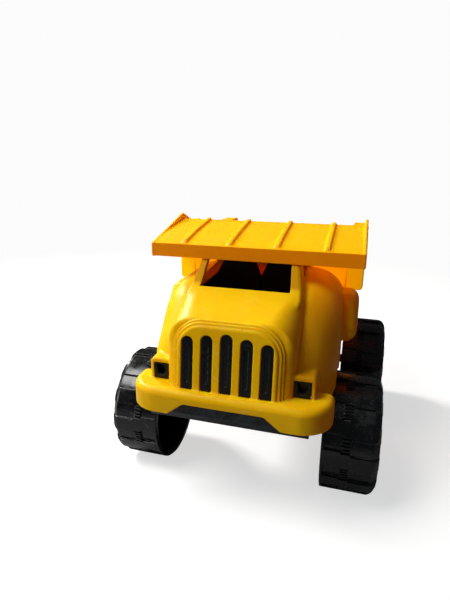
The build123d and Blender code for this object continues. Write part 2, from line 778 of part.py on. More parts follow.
def round_skirt_corner(side):
    """Round the lower outer edge of the wings and skirt."""
    arc_x = bed_half - skirt_corner_r
    arc_z = skirt_bottom + skirt_corner_r
    beyond_x = side * (bed_half + 0.5)
    corner = [(beyond_x, skirt_bottom - 0.5), (side * arc_x, skirt_bottom - 0.5)]
    for i in range(7):
        a = radians(-90 + 15 * i)
        corner.append((side * (arc_x + skirt_corner_r * cos(a)),
                       arc_z + skirt_corner_r * sin(a)))
    corner.append((beyond_x, arc_z))
    xz_prism(corner, canopy_rear - 1, tail_y + 1, mode=Mode.SUBTRACT)


def build_dump_bed():
    hopper_space = build_hopper_space()
    with BuildPart() as bed:
        # hopper block, cut below the rising floor and above the rails
        xz_prism(hopper_outline(0), canopy_rear, tail_y)
        yz_prism([(tail_y, 100), (floor_bend_y, 100), (floor_bend_y, hopper_bottom),
                  (tail_y, tail_floor_z)], -110, 110, mode=Mode.SUBTRACT)
        yz_prism(rail_line + [(tail_y, 260), (canopy_rear, 260)], -120, 120,
                 mode=Mode.SUBTRACT)
        for side in sides:
            add_bed_side(side)
        # full-width front wall above the wings
        xz_prism([(-bed_half, 215), (bed_half, 215), (bed_half, front_wall_top),
                  (-bed_half, front_wall_top)], canopy_rear, canopy_rear + wall)
        add(hopper_space, mode=Mode.SUBTRACT)
        # canopy sheet and its front lip
        yz_prism(sheet(canopy_line), -bed_half, bed_half)
        yz_prism([(canopy_front, lip_bottom), (canopy_front, canopy_front_top),
                  (canopy_front + wall, 224.6), (canopy_front + wall, lip_bottom)],
                 -bed_half, bed_half)
        for side in sides:
            add_canopy_side(side)
        cross_rod(hinge_y, hinge_z, pin_r + run_clear, 90, mode=Mode.SUBTRACT)
        for side in sides:
            round_skirt_corner(side)
    return bed.part


save(build_dump_bed(), "dump_bed")


# ===========================================================================
# Push-on caps of the bed hinge pin
# ===========================================================================
def build_hinge_pin_caps():
    with BuildPart() as caps:
        for side in sides:
            x0, x1 = span(side, 40.2, 42.4)
            with BuildSketch(Plane.YZ.offset(x0)) as ring:
                with Locations((hinge_y, hinge_z)):
                    Circle(5.0)
                    Circle(pin_r + press_clear, mode=Mode.SUBTRACT)
            extrude(ring.sketch, amount=x1 - x0)
    return caps.part


save(build_hinge_pin_caps(), "hinge_pin_caps")
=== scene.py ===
import math
import time

import bpy
import numpy as np
from mathutils import Matrix, Vector
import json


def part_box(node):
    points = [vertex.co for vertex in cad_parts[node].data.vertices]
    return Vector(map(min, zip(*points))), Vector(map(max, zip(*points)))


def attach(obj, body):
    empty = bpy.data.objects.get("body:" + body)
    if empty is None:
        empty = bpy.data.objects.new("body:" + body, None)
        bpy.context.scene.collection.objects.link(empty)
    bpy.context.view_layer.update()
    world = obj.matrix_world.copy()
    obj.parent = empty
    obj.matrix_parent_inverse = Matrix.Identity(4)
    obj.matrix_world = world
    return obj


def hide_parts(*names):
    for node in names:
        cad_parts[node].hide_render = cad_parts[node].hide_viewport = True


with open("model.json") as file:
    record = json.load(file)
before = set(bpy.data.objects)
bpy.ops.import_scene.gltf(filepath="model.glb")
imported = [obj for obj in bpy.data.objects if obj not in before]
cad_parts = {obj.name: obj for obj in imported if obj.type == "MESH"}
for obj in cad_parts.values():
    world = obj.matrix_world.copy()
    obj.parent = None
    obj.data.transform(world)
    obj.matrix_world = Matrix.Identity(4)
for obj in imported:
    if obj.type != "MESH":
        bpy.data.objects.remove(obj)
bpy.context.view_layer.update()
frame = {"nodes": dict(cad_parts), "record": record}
T0 = time.time()


def say(*words):
    print("[scene %5.1fs]" % (time.time() - T0), *words)


# ---------------------------------------------------------------------------
# Places taken from the frame.  Shapes are described in millimetres with y
# measured from the front axle and z from the ground.
# ---------------------------------------------------------------------------
def mm_box(node):
    lo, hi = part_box(node)
    return np.array(lo) * 1000.0, np.array(hi) * 1000.0


def centre(node):
    lo, hi = mm_box(node)
    return (lo + hi) / 2


FA = float(centre("front_axle")[1])
RA = float(centre("rear_axle")[1])
AXLE_Z = float(centre("front_axle")[2])
WHEEL_R = float((mm_box("wheel_front_left")[1] - mm_box("wheel_front_left")[0])[2] / 2)
WX0, WX1 = (float(mm_box("wheel_front_left")[i][0]) for i in (0, 1))
FRONT_IN = WX1 - 48.9                 # inboard end of the tread, front wheel
REAR_OFF = float(mm_box("wheel_rear_left")[1][0]) - WX1
NOSE = float(mm_box("cab_shell")[0][1]) - FA
TAIL = float(mm_box("dump_bed")[1][1]) - FA
APEX = float(mm_box("dump_bed")[1][2])
BED_HALF = float(mm_box("dump_bed")[1][0])
CAB_HALF = float(mm_box("cab_shell")[1][0])
HINGE_Y = float(centre("hinge_pin")[1]) - FA
HINGE_Z = float(centre("hinge_pin")[2])


# ---------------------------------------------------------------------------
# Distance-field kit: a shape is a function of (x, y, z) arrays that is
# negative inside.  Everything is evaluated in float32.
# ---------------------------------------------------------------------------
F = np.float32


def hyp(a, b):
    return np.sqrt(a * a + b * b)


def pos(a):
    return np.maximum(a, F(0))


def rmax(a, b, r):
    """Intersection with a rounded edge of radius r."""
    r = F(r)
    return np.minimum(-r, np.maximum(a, b)) + hyp(pos(a + r), pos(b + r))


def rmin(a, b, r):
    """Union with a fillet of radius r."""
    r = F(r)
    return np.maximum(r, np.minimum(a, b)) - hyp(pos(r - a), pos(r - b))


def cut(a, b, r):
    """a without b, edge rounded by r."""
    return rmax(a, -b, r)


def step(a, b, t):
    t = np.clip((t - F(a)) / F(b - a), 0, 1)
    return t * t * (3 - 2 * t)


def shrink(points, d):
    n = len(points)
    area = sum(points[i][0] * points[(i + 1) % n][1]
               - points[(i + 1) % n][0] * points[i][1] for i in range(n))
    s = 1.0 if area > 0 else -1.0
    out = []
    for i in range(n):
        p0, p1, p2 = points[i - 1], points[i], points[(i + 1) % n]
        a = math.hypot(p1[0] - p0[0], p1[1] - p0[1])
        b = math.hypot(p2[0] - p1[0], p2[1] - p1[1])
        n1 = (-(p1[1] - p0[1]) / a * s, (p1[0] - p0[0]) / a * s)
        n2 = (-(p2[1] - p1[1]) / b * s, (p2[0] - p1[0]) / b * s)
        k = max(1 + n1[0] * n2[0] + n1[1] * n2[1], 0.2)
        out.append((p1[0] + d * (n1[0] + n2[0]) / k, p1[1] + d * (n1[1] + n2[1]) / k))
    return out


def smooth_line(points, n=6):
    """Catmull-Rom curve through the points."""
    p = [np.array(q, float) for q in points]
    p = [2 * p[0] - p[1]] + p + [2 * p[-1] - p[-2]]
    out = []
    for i in range(1, len(p) - 2):
        for j in range(n):
            t = j / n
            out.append(0.5 * ((2 * p[i]) + (p[i + 1] - p[i - 1]) * t
                              + (2 * p[i - 1] - 5 * p[i] + 4 * p[i + 1] - p[i + 2]) * t * t
                              + (3 * p[i] - p[i - 1] - 3 * p[i + 1] + p[i + 2]) * t ** 3))
    out.append(p[-2])
    return [tuple(q) for q in out]


class Profile:
    """Signed distance to a closed outline, kept in a table."""

    def __init__(self, points, round_by=0.0, pad=40.0, cell=0.5):
        if round_by:
            points = shrink(points, round_by)
        pts = np.array(points, float)
        self.lo = pts.min(0) - pad
        hi = pts.max(0) + pad
        n = np.ceil((hi - self.lo) / cell).astype(int) + 2
        u = self.lo[0] + cell * np.arange(n[0])
        v = self.lo[1] + cell * np.arange(n[1])
        U, V = np.meshgrid(u, v, indexing="ij")
        U, V = U.astype(F), V.astype(F)
        best = np.full(U.shape, 1e9, F)
        inside = np.zeros(U.shape, bool)
        m = len(pts)
        for i in range(m):
            a, b = pts[i], pts[(i + 1) % m]
            e = b - a
            L = float(e @ e) + 1e-12
            wu, wv = U - F(a[0]), V - F(a[1])
            t = np.clip((wu * F(e[0]) + wv * F(e[1])) / F(L), 0, 1)
            du, dv = wu - F(e[0]) * t, wv - F(e[1]) * t
            best = np.minimum(best, du * du + dv * dv)
            c1 = V >= F(a[1])
            c2 = V < F(b[1])
            c3 = (F(e[0]) * wv - F(e[1]) * wu) > 0
            flip = (c1 & c2 & c3) | (~c1 & ~c2 & ~c3)
            inside ^= flip
        d = np.sqrt(best)
        self.t = np.where(inside, -d, d).astype(F) - F(round_by)
        self.n = n
        self.cell = cell

    def __call__(self, u, v):
        fu = (u - F(self.lo[0])) / F(self.cell)
        fv = (v - F(self.lo[1])) / F(self.cell)
        cu = np.clip(fu, 0, self.n[0] - 1.001)
        cv = np.clip(fv, 0, self.n[1] - 1.001)
        iu = cu.astype(np.int32)
        iv = cv.astype(np.int32)
        a = (cu - iu).astype(F)
        b = (cv - iv).astype(F)
        flat = iu * self.n[1] + iv
        t = self.t.ravel()
        t00, t01 = t[flat], t[flat + 1]
        t10, t11 = t[flat + self.n[1]], t[flat + self.n[1] + 1]
        d = (t00 * (1 - b) + t01 * b) * (1 - a) + (t10 * (1 - b) + t11 * b) * a
        out = (np.abs(fu - cu) + np.abs(fv - cv)) * F(self.cell)
        return d + out


def evaluate(f, x, y, z, chunk=90000):
    out = np.empty(x.shape, F)
    for i in range(0, len(x), chunk):
        s = slice(i, i + chunk)
        out[s] = f(x[s], y[s], z[s])
    return out


def net(f, lo, hi, h, slack=1.25, relax=2):
    """Surface-net mesh of f in the box, pulled onto the exact surface."""
    B = 8
    lo = np.array(lo, float)
    nb = np.ceil((np.array(hi, float) - lo) / (h * B)).astype(int)
    n = nb * B
    bi = np.stack(np.meshgrid(*[np.arange(k) for k in nb], indexing="ij"), -1).reshape(-1, 3)
    c = (lo + (bi + 0.5) * B * h).astype(F)
    fc = evaluate(f, c[:, 0].copy(), c[:, 1].copy(), c[:, 2].copy())
    live = np.abs(fc) < slack * B * h * math.sqrt(3) / 2
    vals = np.empty(tuple(n + 1), F)
    rep = fc.reshape(tuple(nb))
    for ax in range(3):
        rep = np.repeat(rep, B, axis=ax)
    vals[:-1, :-1, :-1] = rep
    vals[-1] = vals[-2]
    vals[:, -1] = vals[:, -2]
    vals[:, :, -1] = vals[:, :, -2]
    off = np.stack(np.meshgrid(*[np.arange(B + 1)] * 3, indexing="ij"), -1).reshape(-1, 3)
    blocks = bi[live]
    per = 120
    for i in range(0, len(blocks), per):
        idx = (blocks[i:i + per, None, :] * B + off[None]).reshape(-1, 3)
        p = (lo + idx * h).astype(F)
        v = f(p[:, 0].copy(), p[:, 1].copy(), p[:, 2].copy())
        vals[idx[:, 0], idx[:, 1], idx[:, 2]] = v
    s = vals < 0
    cnt = np.zeros(tuple(n), np.int8)
    corners = [(a, b, c) for a in (0, 1) for b in (0, 1) for c in (0, 1)]
    for a, b, c_ in corners:
        cnt += s[a:n[0] + a, b:n[1] + b, c_:n[2] + c_]
    cells = np.argwhere((cnt > 0) & (cnt < 8))
    index = np.full(tuple(n), -1, np.int32)
    index[cells[:, 0], cells[:, 1], cells[:, 2]] = np.arange(len(cells))
    cv = np.stack([vals[cells[:, 0] + a, cells[:, 1] + b, cells[:, 2] + c_]
                   for a, b, c_ in corners], 1)
    acc = np.zeros((len(cells), 3))
    num = np.zeros(len(cells))
    for i, ci in enumerate(corners):
        for j, cj in enumerate(corners):
            if j > i and sum(abs(p - q) for p, q in zip(ci, cj)) == 1:
                a, b = cv[:, i], cv[:, j]
                m = (a < 0) != (b < 0)
                t = np.where(m, a / np.where(m, a - b, 1), 0)
                pi, pj = np.array(ci, float), np.array(cj, float)
                acc += np.where(m[:, None], pi + t[:, None] * (pj - pi), 0)
                num += m
    verts = lo + (cells + acc / num[:, None]) * h
    quads = []
    for axis in range(3):
        o = [k for k in range(3) if k != axis]
        a = [slice(None)] * 3
        b = [slice(None)] * 3
        a[axis] = slice(0, n[axis])
        b[axis] = slice(1, n[axis] + 1)
        s0, s1 = s[tuple(a)], s[tuple(b)]
        e = np.argwhere(s0 != s1)
        keep = np.ones(len(e), bool)
        for k in o:
            keep &= (e[:, k] >= 1) & (e[:, k] < n[k])
        e = e[keep]
        sign = s0[e[:, 0], e[:, 1], e[:, 2]]
        ring = []
        for da, db in ((-1, -1), (0, -1), (0, 0), (-1, 0)):
            q = e.copy()
            q[:, o[0]] += da
            q[:, o[1]] += db
            ring.append(index[q[:, 0], q[:, 1], q[:, 2]])
        ring = np.stack(ring, 1)
        if axis == 1:
            sign = ~sign
        ring[~sign] = ring[~sign][:, ::-1]
        quads.append(ring)
    quads = np.concatenate(quads)
    quads = quads[(quads >= 0).all(1)]
    verts = pull(f, verts, h, relax)
    return verts, quads


def gradient(f, p, e=0.12):
    k = np.array([(1, -1, -1), (-1, -1, 1), (-1, 1, -1), (1, 1, 1)], float)
    g = np.zeros_like(p)
    total = np.zeros(len(p))
    for d in k:
        q = (p + d * e).astype(F)
        v = evaluate(f, q[:, 0].copy(), q[:, 1].copy(), q[:, 2].copy()).astype(float)
        g += d * v[:, None]
        total += v
    return g / (4 * e), total / 4


def pull(f, verts, h, times):
    p = verts.copy()
    for _ in range(times):
        g, v = gradient(f, p)
        m = np.maximum((g * g).sum(1), 0.09)
        d = -(v / m)[:, None] * g
        size = np.linalg.norm(d, axis=1)
        d *= np.minimum(1, 0.6 * h / np.maximum(size, 1e-9))[:, None]
        p += d
    return p


def to_mesh(name, verts, quads):
    me = bpy.data.meshes.new(name)
    me.vertices.add(len(verts))
    me.vertices.foreach_set("co", verts.astype(np.float32).ravel())
    me.loops.add(quads.size)
    me.loops.foreach_set("vertex_index", quads.astype(np.int32).ravel())
    me.polygons.add(len(quads))
    me.polygons.foreach_set("loop_start", np.arange(0, quads.size, 4, dtype=np.int32))
    me.update(calc_edges=True)
    me.validate()
    return me


def field_piece(name, f, lo, hi, h, faces, place=lambda p: p + np.array([0, FA, 0]),
                crisp=None):
    """Mesh of f in metres, thinned to the face budget, with exact normals."""
    verts, quads = net(f, lo, hi, h)
    raw = to_mesh(name + "_raw", verts, quads)
    tmp = bpy.data.objects.new(name + "_raw", raw)
    bpy.context.scene.collection.objects.link(tmp)
    have = 2 * len(quads)
    if have > faces:
        mod = tmp.modifiers.new("thin", "DECIMATE")
        mod.ratio = faces / have
    dg = bpy.context.evaluated_depsgraph_get()
    me = bpy.data.meshes.new_from_object(tmp.evaluated_get(dg))
    bpy.data.objects.remove(tmp)
    bpy.data.meshes.remove(raw)
    me.name = name
    nv = len(me.vertices)
    co = np.empty(nv * 3, np.float32)
    me.vertices.foreach_get("co", co)
    co = co.reshape(-1, 3).astype(float)
    co = pull(f, co, h * 0.5, 1)
    g, _ = gradient(f, co, 0.15)
    g /= np.maximum(np.linalg.norm(g, axis=1), 1e-9)[:, None]
    out = place(co) / 1000.0
    me.vertices.foreach_set("co", out.astype(np.float32).ravel())
    me.polygons.foreach_set("use_smooth", np.ones(len(me.polygons), bool))
    me.update()
    ob = bpy.data.objects.new(name, me)
    bpy.context.scene.collection.objects.link(ob)
    ob["exact"] = 1
    set_normals(me, g)
    say(name, "cells", len(quads), "faces", len(me.polygons))
    return ob, g


def set_normals(me, g):
    """Exact surface normals, except at corners that span a tight edge."""
    nf = len(me.polygons)
    fn = np.empty(nf * 3, np.float32)
    me.polygons.foreach_get("normal", fn)
    fn = fn.reshape(-1, 3)
    nl = len(me.loops)
    lv = np.empty(nl, np.int32)
    me.loops.foreach_get("vertex_index", lv)
    ls = np.empty(nf, np.int32)
    lt = np.empty(nf, np.int32)
    me.polygons.foreach_get("loop_start", ls)
    me.polygons.foreach_get("loop_total", lt)
    lf = np.repeat(np.arange(nf), lt)
    ln = g[lv].astype(np.float32)
    face = fn[lf]
    dot = (ln * face).sum(1)
    w = np.clip((dot - 0.55) / 0.25, 0, 1)[:, None]
    ln = ln * w + face * (1 - w)
    ln /= np.maximum(np.linalg.norm(ln, axis=1), 1e-9)[:, None]
    me.normals_split_custom_set(ln.tolist())


# ---------------------------------------------------------------------------
# Cab shell
# ---------------------------------------------------------------------------
LEAN = math.radians(5.4)
FACE_Y, FACE_Z = -85.6, 117.0
PITCH, SLOT_W = 16.5, 10.0
SLOT_TOPS = np.array([168.2, 165.8, 163.6], F)

fender_curve = smooth_line([(-67, 96), (-67, 126), (-64.5, 140), (-56, 153), (-44, 164.5),
                            (-32, 176), (-20, 185), (-4, 191), (20, 195.5), (66, 197.2),
                            (100, 197.6)], 5)
fender_side = Profile([(-67, 30)] + fender_curve + [(100, 30)], pad=30)
tank_side = Profile([(18, 137), (14, 141), (16, 150), (38, 174), (44, 177), (69, 177),
                     (72, 174), (72, 140), (69, 137)], round_by=3.5, pad=30)
side_window = Profile([(6, 194.6), (24.5, 210.2), (53.0, 210.2), (50.0, 199.8)],
                      round_by=1.6, pad=25)


def arch2(ax, z, half, top, r):
    q1, q2 = ax - (half - r), z - (top - r)
    return hyp(pos(q1), pos(q2)) + np.minimum(np.maximum(q1, q2), 0) - r


def slots(x, y, z):
    k = np.clip(np.round(x / F(PITCH)), -2, 2)
    u = np.abs(x - k * F(PITCH))
    v = (z - F(FACE_Z)) * F(math.cos(LEAN)) + (y - F(FACE_Y)) * F(math.sin(LEAN))
    w = -(y - F(FACE_Y)) * F(math.cos(LEAN)) + (z - F(FACE_Z)) * F(math.sin(LEAN))
    length = (SLOT_TOPS[np.abs(k).astype(np.int32)] - F(FACE_Z)) / F(math.cos(LEAN))
    return u, v, w, length


def slot_shape(x, y, z, grow=0.0):
    u, v, w, length = slots(x, y, z)
    half = F(SLOT_W / 2 + grow)
    top = hyp(u, pos(v - (length - F(SLOT_W / 2)))) - half
    return rmax(top, F(1.5 - grow) - v, 1.2), w


def rack(x, z):
    """The window frame stands a little out of true towards the right."""
    return np.abs(x + F(3.0) * step(190, 211, z))


def cab_outer(ax, gx, y, z):
    # fenders: side outline with a broad dome towards the outside
    ds = fender_side(y, z)
    k = F(0.60) + F(0.40) * step(-45, 15, y)
    dome = rmax(ds * k, ax - F(84), 33)
    dome = rmax(dome, y - F(66), 3)
    # hood
    t = np.clip((y + F(70)) / F(44), 0, 1)
    tf = (y + F(70)) / F(44)
    tf = np.minimum(tf, 1)
    hood = arch2(ax, z, 54 - t, F(178.2) + F(13.8) * tf, 24 - 12 * t) * F(0.955)
    # stepped surround of the grille: fine ridges parallel to the leaning face
    face = -(y - F(FACE_Y)) * F(math.cos(LEAN)) + (z - F(FACE_Z)) * F(math.sin(LEAN))
    round_by = F(9.5) - F(7.5) * step(148, 172, z)
    a, b = hood, face + F(5.7)
    hood = (np.minimum(-round_by, np.maximum(a, b))
            + hyp(pos(a + round_by), pos(b + round_by)))
    hood = rmax(hood, y - F(66), 2)
    o = rmin(dome, hood, 2.0)
    for half, top, r, back, e, f in ((46.6, 177.1, 25.0, 3.8, 0.9, 0.5),
                                     (44.4, 175.4, 23.3, 1.9, 0.9, 0.5),
                                     (42.2, 173.6, 21.6, 0.0, 2.6, 0.5)):
        ring = rmax(arch2(ax, z, half, top, r), face + F(back), e)
        ring = np.maximum(ring, y - F(62))
        o = rmin(o, ring, f)
    # bumper
    plan = hyp(pos(ax - F(85.5 - 27)), pos(F(-93.2 + 27) - y)) - F(27)
    plan = np.maximum(plan, np.minimum(np.maximum(ax - F(85.5), F(-93.2) - y), 0))
    plan = np.where((ax < 58.5) & (y > -66.2), np.maximum(ax - F(85.5), F(-93.2) - y), plan)
    bump = rmax(plan, z - F(118.5), 6.0)
    bump = rmax(bump, y - F(-55.5), 3.0)
    o = rmin(o, bump, 1.4)
    # headlight housings
    box = rmax(np.abs(ax - F(60.3)) - F(10.3), z - (F(136.8) + F(0.07) * (y + F(72))), 4.2)
    box = rmax(box, F(-72.4) - y, 1.6)
    box = rmax(box, y + F(53), 2.0)
    o = rmin(o, box, 1.6)
    # side tanks
    tank = rmax(tank_side(y, z), ax - F(CAB_HALF), 11.0)
    tank = rmax(tank, F(60) - ax, 1.0)
    o = rmin(o, tank, 1.6)
    # greenhouse: leaning windscreen frame, roof and back
    front = (y + F(29)) * F(-0.526) + (z - F(191.7)) * F(0.851)
    gside = gx - (F(50.4) - F(0.17) * (z - F(190)))
    g = rmax(front, gside, 3.0)
    roof = z - (F(214.6) - F(0.00022) * ax * ax)
    g = rmax(g, roof, 3.0)
    g = rmax(g, y - F(66), 2.5)
    g = rmax(g, F(183) - z, 5.0)
    return rmin(o, g, 3.5)


def cab(x, y, z):
    ax = np.abs(x)
    gx = rack(x, z)
    o = cab_outer(ax, gx, y, z)
    s = rmax(o, -(o + F(3.0)), 0.5)
    # open cabin behind the windscreen, with a bevelled sill at each side
    room = rmax(ax - F(47.2), np.abs(y - F(18.3)) - F(44.6), 1.0)
    room = np.maximum(room, z - F(192.6))
    room = np.maximum(room, (y + F(29)) * F(-0.526) + (z - F(191.7)) * F(0.851) + F(2.5))
    s = cut(s, room, 0.4)
    # windscreen and side windows
    screen = rmax(gx - (F(40.4) - F(0.03) * (z - F(191))), F(190.6) - z, 0.5)
    screen = rmax(screen, z - F(210.6), 2.0)
    screen = np.maximum(screen, np.maximum(y - F(14), F(-29.0) - y))
    s = cut(s, screen, 0.7)
    win = np.maximum(side_window(y, z), F(42) - gx)
    s = cut(s, win, 0.7)
    # grille slots
    shape, w = slot_shape(x, y, z)
    s = cut(s, np.maximum(shape, np.abs(w) - F(9)), 0.7)
    # headlight sockets
    socket = np.maximum(np.maximum(np.abs(ax - F(60.25)), np.abs(z - F(125.9))) - F(7.05),
                        y + F(60.5))
    s = cut(s, socket, 0.5)
    # raised middle of the bumper's lower edge
    notch = rmax(z - F(108.2), (ax - F(33.5) - (F(108.2) - z) * F(1.305)) / F(1.644), 0.8)
    notch = np.maximum(notch, y + F(50))
    s = cut(s, notch, 0.8)
    # wheel arch
    rho = hyp(y, z - F(AXLE_Z))
    s = cut(s, np.maximum(rho - F(60), F(73) - ax), 0.8)
    # open bottom, raised over the chassis deck
    s = rmax(s, F(97.7) - z, 0.6)
    deck = np.maximum(np.maximum(ax - F(51), np.abs(y - F(55)) - F(12.5)), z - F(99.1))
    s = cut(s, deck, 0.3)
    # screw posts; the cabin's back wall is the shell wall left standing behind the room cut
    post = rmax(hyp(ax - F(28), y + F(48)) - F(4), np.abs(z - F(142)) - F(41), 0.4)
    post = np.maximum(post, F(1.6) - hyp(ax - F(28), y + F(48)))
    s = np.minimum(s, np.maximum(post, F(99.1) - z))
    return s


cab_lo, cab_hi = (-CAB_HALF - 3, NOSE - 3, 94), (CAB_HALF + 3, 70, 219)


# ---------------------------------------------------------------------------
# Grille insert and headlight bezels
# ---------------------------------------------------------------------------
def grille(x, y, z):
    shape, w = slot_shape(x, y, z, grow=-0.25)
    bars = rmax(shape, np.abs(w + F(2.6)) - F(1.9), 0.8)
    v = (z - F(FACE_Z)) * F(math.cos(LEAN)) + (y - F(FACE_Y)) * F(math.sin(LEAN))
    plate = rmax(np.abs(x) - F(39), np.abs(v - F(18.5)) - F(19.5), 5.0)
    plate = rmax(plate, np.abs(w + F(4.3)) - F(0.95), 0.5)
    # a shallow groove along each bar
    u, vv, ww, length = slots(x, y, z)
    groove = rmax(u - F(1.5), np.abs(vv - length / 2) - (length / 2 - F(8)), 1.4)
    bars = cut(bars, np.maximum(groove, F(-1.15) - w), 0.4)
    return rmin(bars, plate, 0.4)


def bezel(x, y, z):
    u, v = x - F(60.25), z - F(125.9)
    body = rmax(np.abs(u) - F(6.85), np.abs(v) - F(6.85), 1.4)
    body = rmax(body, np.abs(y + F(68.9)) - F(4.5), 0.7)
    mouth = np.where(v > F(0.6), np.abs(u) - F(0.10) * (v - F(0.6)), hyp(u, v - F(0.6))) - F(3.6)
    body = cut(body, np.maximum(mouth, y + F(67.2)), 0.5)
    # shallow step around the mouth and a cross bar set back in its top
    rim = rmax(mouth - F(1.3), y + F(72.7), 0.2)
    body = cut(body, rim, 0.3)
    bar = rmax(np.abs(v - F(5.9)) - F(0.8), np.abs(y + F(70.6)) - F(0.9), 0.3)
    bar = np.maximum(bar, np.abs(u) - F(6))
    return np.minimum(body, bar)


# ---------------------------------------------------------------------------
# Seat unit
# ---------------------------------------------------------------------------
back_profile = Profile([(0, 157), (47, 157), (47, 187), (45.5, 190.5), (38.5, 205.5), (36.0, 207),
                        (9.5, 207), (7.6, 205.5), (0.6, 188.6), (0, 188.3)], pad=25)


def seat(x, y, z):
    ax = np.abs(x)
    tub = rmax(ax - F(47), np.abs(y - F(11.5)) - F(36.5), 3.0)
    tub = rmax(tub, z - F(158), 2.0)
    hollow = np.maximum(np.maximum(ax - F(44.5), np.abs(y - F(11.5)) - F(34)), z - F(155.4))
    tub = cut(tub, hollow, 0.4)
    tub = rmax(tub, F(99.1) - z, 0.4)
    lean = y - F(44.75)
    back = rmax(back_profile(ax, z), np.abs(lean) - F(3.25), 1.3)
    # the two backs part along a narrow gap
    gap = rmax(ax - F(0.9), np.abs(z - F(174)) - F(18), 0.4)
    back = cut(back, np.maximum(gap, y - F(44.0)), 0.6)
    flank = rmax(np.abs(ax - F(45.6)) - F(1.4), np.abs(y - F(11.5)) - F(36.5), 0.5)
    flank = rmax(flank, z - (F(187.4) + F(0.035) * (y - F(0))), 0.6)
    flank = np.maximum(flank, F(150) - z)
    back = np.minimum(back, flank)
    cush = rmax(np.abs(ax - F(23.2)) - F(21), np.abs(y - F(24)) - F(18), 6.0)
    crown = F(169) - F(0.004) * ((ax - F(23.2)) ** 2 + (y - F(24)) ** 2)
    cush = rmax(cush, (z - crown) * F(0.98), 3.0)
    cush = np.maximum(cush, F(156) - z)
    s = rmin(np.minimum(tub, back), cush, 1.0)
    leg = np.maximum(hyp(ax - F(24), y - F(12)) - F(4), np.maximum(z - F(156.5), F(99.1) - z))
    s = np.minimum(s, np.maximum(leg, F(1.6) - hyp(ax - F(24), y - F(12))))
    room = np.maximum(np.maximum(np.abs(ax - F(46)) - F(5.5), np.abs(y - F(50)) - F(6.5)),
                      z - F(131))
    return cut(s, room, 0.4)


# ---------------------------------------------------------------------------
# Dump bed
# ---------------------------------------------------------------------------
canopy_line = [(-1, 223.9), (15, 228.2), (37, 232.6), (60, 236.4), (74.7, 238.8), (77.7, 239.2)]
rail_line = [(74.7, 239.2), (100, 237.2), (150, 222.6), (TAIL, 222.6)]
canopy_top = smooth_line(canopy_line, 4)
canopy_sheet = Profile([(-1, 211.1)] + canopy_top
                       + [(y, z - 3.0) for y, z in reversed(canopy_top[2:])]
                       + [(2.2, 221.0), (2.2, 211.1)], pad=30)
rib_side = Profile([(0.4, 223.0), (1.6, 225.9), (3.6, 227.7)]
                   + [(y, z + 2.4) for y, z in canopy_top[3:]]
                   + [(y, z - 1.5) for y, z in reversed(canopy_top[1:])], pad=20)
side_plate = Profile([(-1, 211.1), (-1, 223.9), (75.6, 245.2), (77.5, APEX), (80.5, 244.6),
                      (100, 237.2), (150, 222.6), (TAIL, 222.6), (TAIL, 173), (74.7, 173),
                      (74.7, 211.1)], pad=40)
rail_sheet = Profile(rail_line + [(y, z - 3.0) for y, z in reversed(rail_line)], pad=40)
under_rail = Profile([(60, 60), (60, 239.6)] + rail_line + [(TAIL, 60)], pad=40)
K_SIDE = 7.5 / (222.6 - 116.0)
lug_side = Profile([(HINGE_Y - 7.2, HINGE_Z), (HINGE_Y - 13, 117.5), (HINGE_Y + 11, 117.5),
                    (HINGE_Y + 7.2, HINGE_Z)], pad=30)


def bed(x, y, z):
    ax = np.abs(x)
    # hopper
    side = (ax - (F(80) + (z - F(116)) * F(K_SIDE))) * F(0.9975)
    tail = ((y - F(223)) * F(33) - (z - F(116)) * F(39)) / F(51.09)
    low = np.maximum(F(116) - z, tail)
    h = rmax(side, F(74.7) - y, 5.5)
    h = rmax(h, low, 5.0)
    h = rmax(h, y - F(TAIL), 0.8)
    inner = rmax(side + F(3), F(77.7) - y, 3.0)
    inner = rmax(inner, np.maximum(F(119) - z, tail + F(3)), 3.0)
    s = cut(h, inner, 0.8)
    s = rmax(s, under_rail(y, z), 0.8)
    # outer side plates: canopy gusset, lip and skirt in one plane
    plate = rmax(side_plate(y, z), np.abs(ax - F(BED_HALF - 1.5)) - F(1.5), 1.25)
    plate = np.maximum(plate, rmax(ax - F(BED_HALF), F(173) - z, 4.5))
    # rail flange, wing and tail plates
    rail = rmax(rail_sheet(y, z), np.abs(ax - F(92)) - F(8.0), 1.25)
    wing = rmax(np.abs(y - F(76.2)) - F(1.5), np.abs(ax - F(91.5)) - F(8.5), 1.25)
    wing = rmax(wing, np.abs(z - F(206)) - F(33), 1.25)
    wing = np.maximum(wing, rmax(ax - F(BED_HALF), F(173) - z, 4.5))
    back = rmax(np.abs(y - F(TAIL - 1.5)) - F(1.5), np.abs(ax - F(92.5)) - F(7.5), 1.25)
    back = rmax(back, np.abs(z - F(197.8)) - F(24.8), 1.25)
    head = rmax(np.abs(y - F(76.2)) - F(1.5), np.abs(z - F(226.9)) - F(11.9), 1.25)
    head = rmax(head, ax - F(BED_HALF), 1.25)
    s = rmin(s, rmin(rail, plate, 1.0), 1.0)
    s = rmin(s, np.minimum(wing, back), 1.0)
    # canopy sheet with its front lip, and the ribs on it
    canopy = rmax(canopy_sheet(y, z), ax - F(BED_HALF), 1.3)
    rib = rmax(rib_side(y, z), np.minimum(np.abs(ax - F(22.3)), np.abs(ax - F(66.9))) - F(2.5),
               1.6)
    canopy = rmin(canopy, rib, 1.1)
    s = rmin(s, rmin(canopy, head, 1.2), 1.2)
    # hinge lugs
    lug = np.minimum(lug_side(y, z), hyp(y - F(HINGE_Y), z - F(HINGE_Z)) - F(7.5))
    lug = rmax(lug, np.abs(ax - F(33.5)) - F(3.0), 0.8)
    s = rmin(s, lug, 1.5)
    bore = F(2.06) - hyp(y - F(HINGE_Y), z - F(HINGE_Z))
    return np.maximum(s, bore)


bed_lo, bed_hi = (-BED_HALF - 3, -4, 93), (BED_HALF + 3, TAIL + 3, APEX + 3)


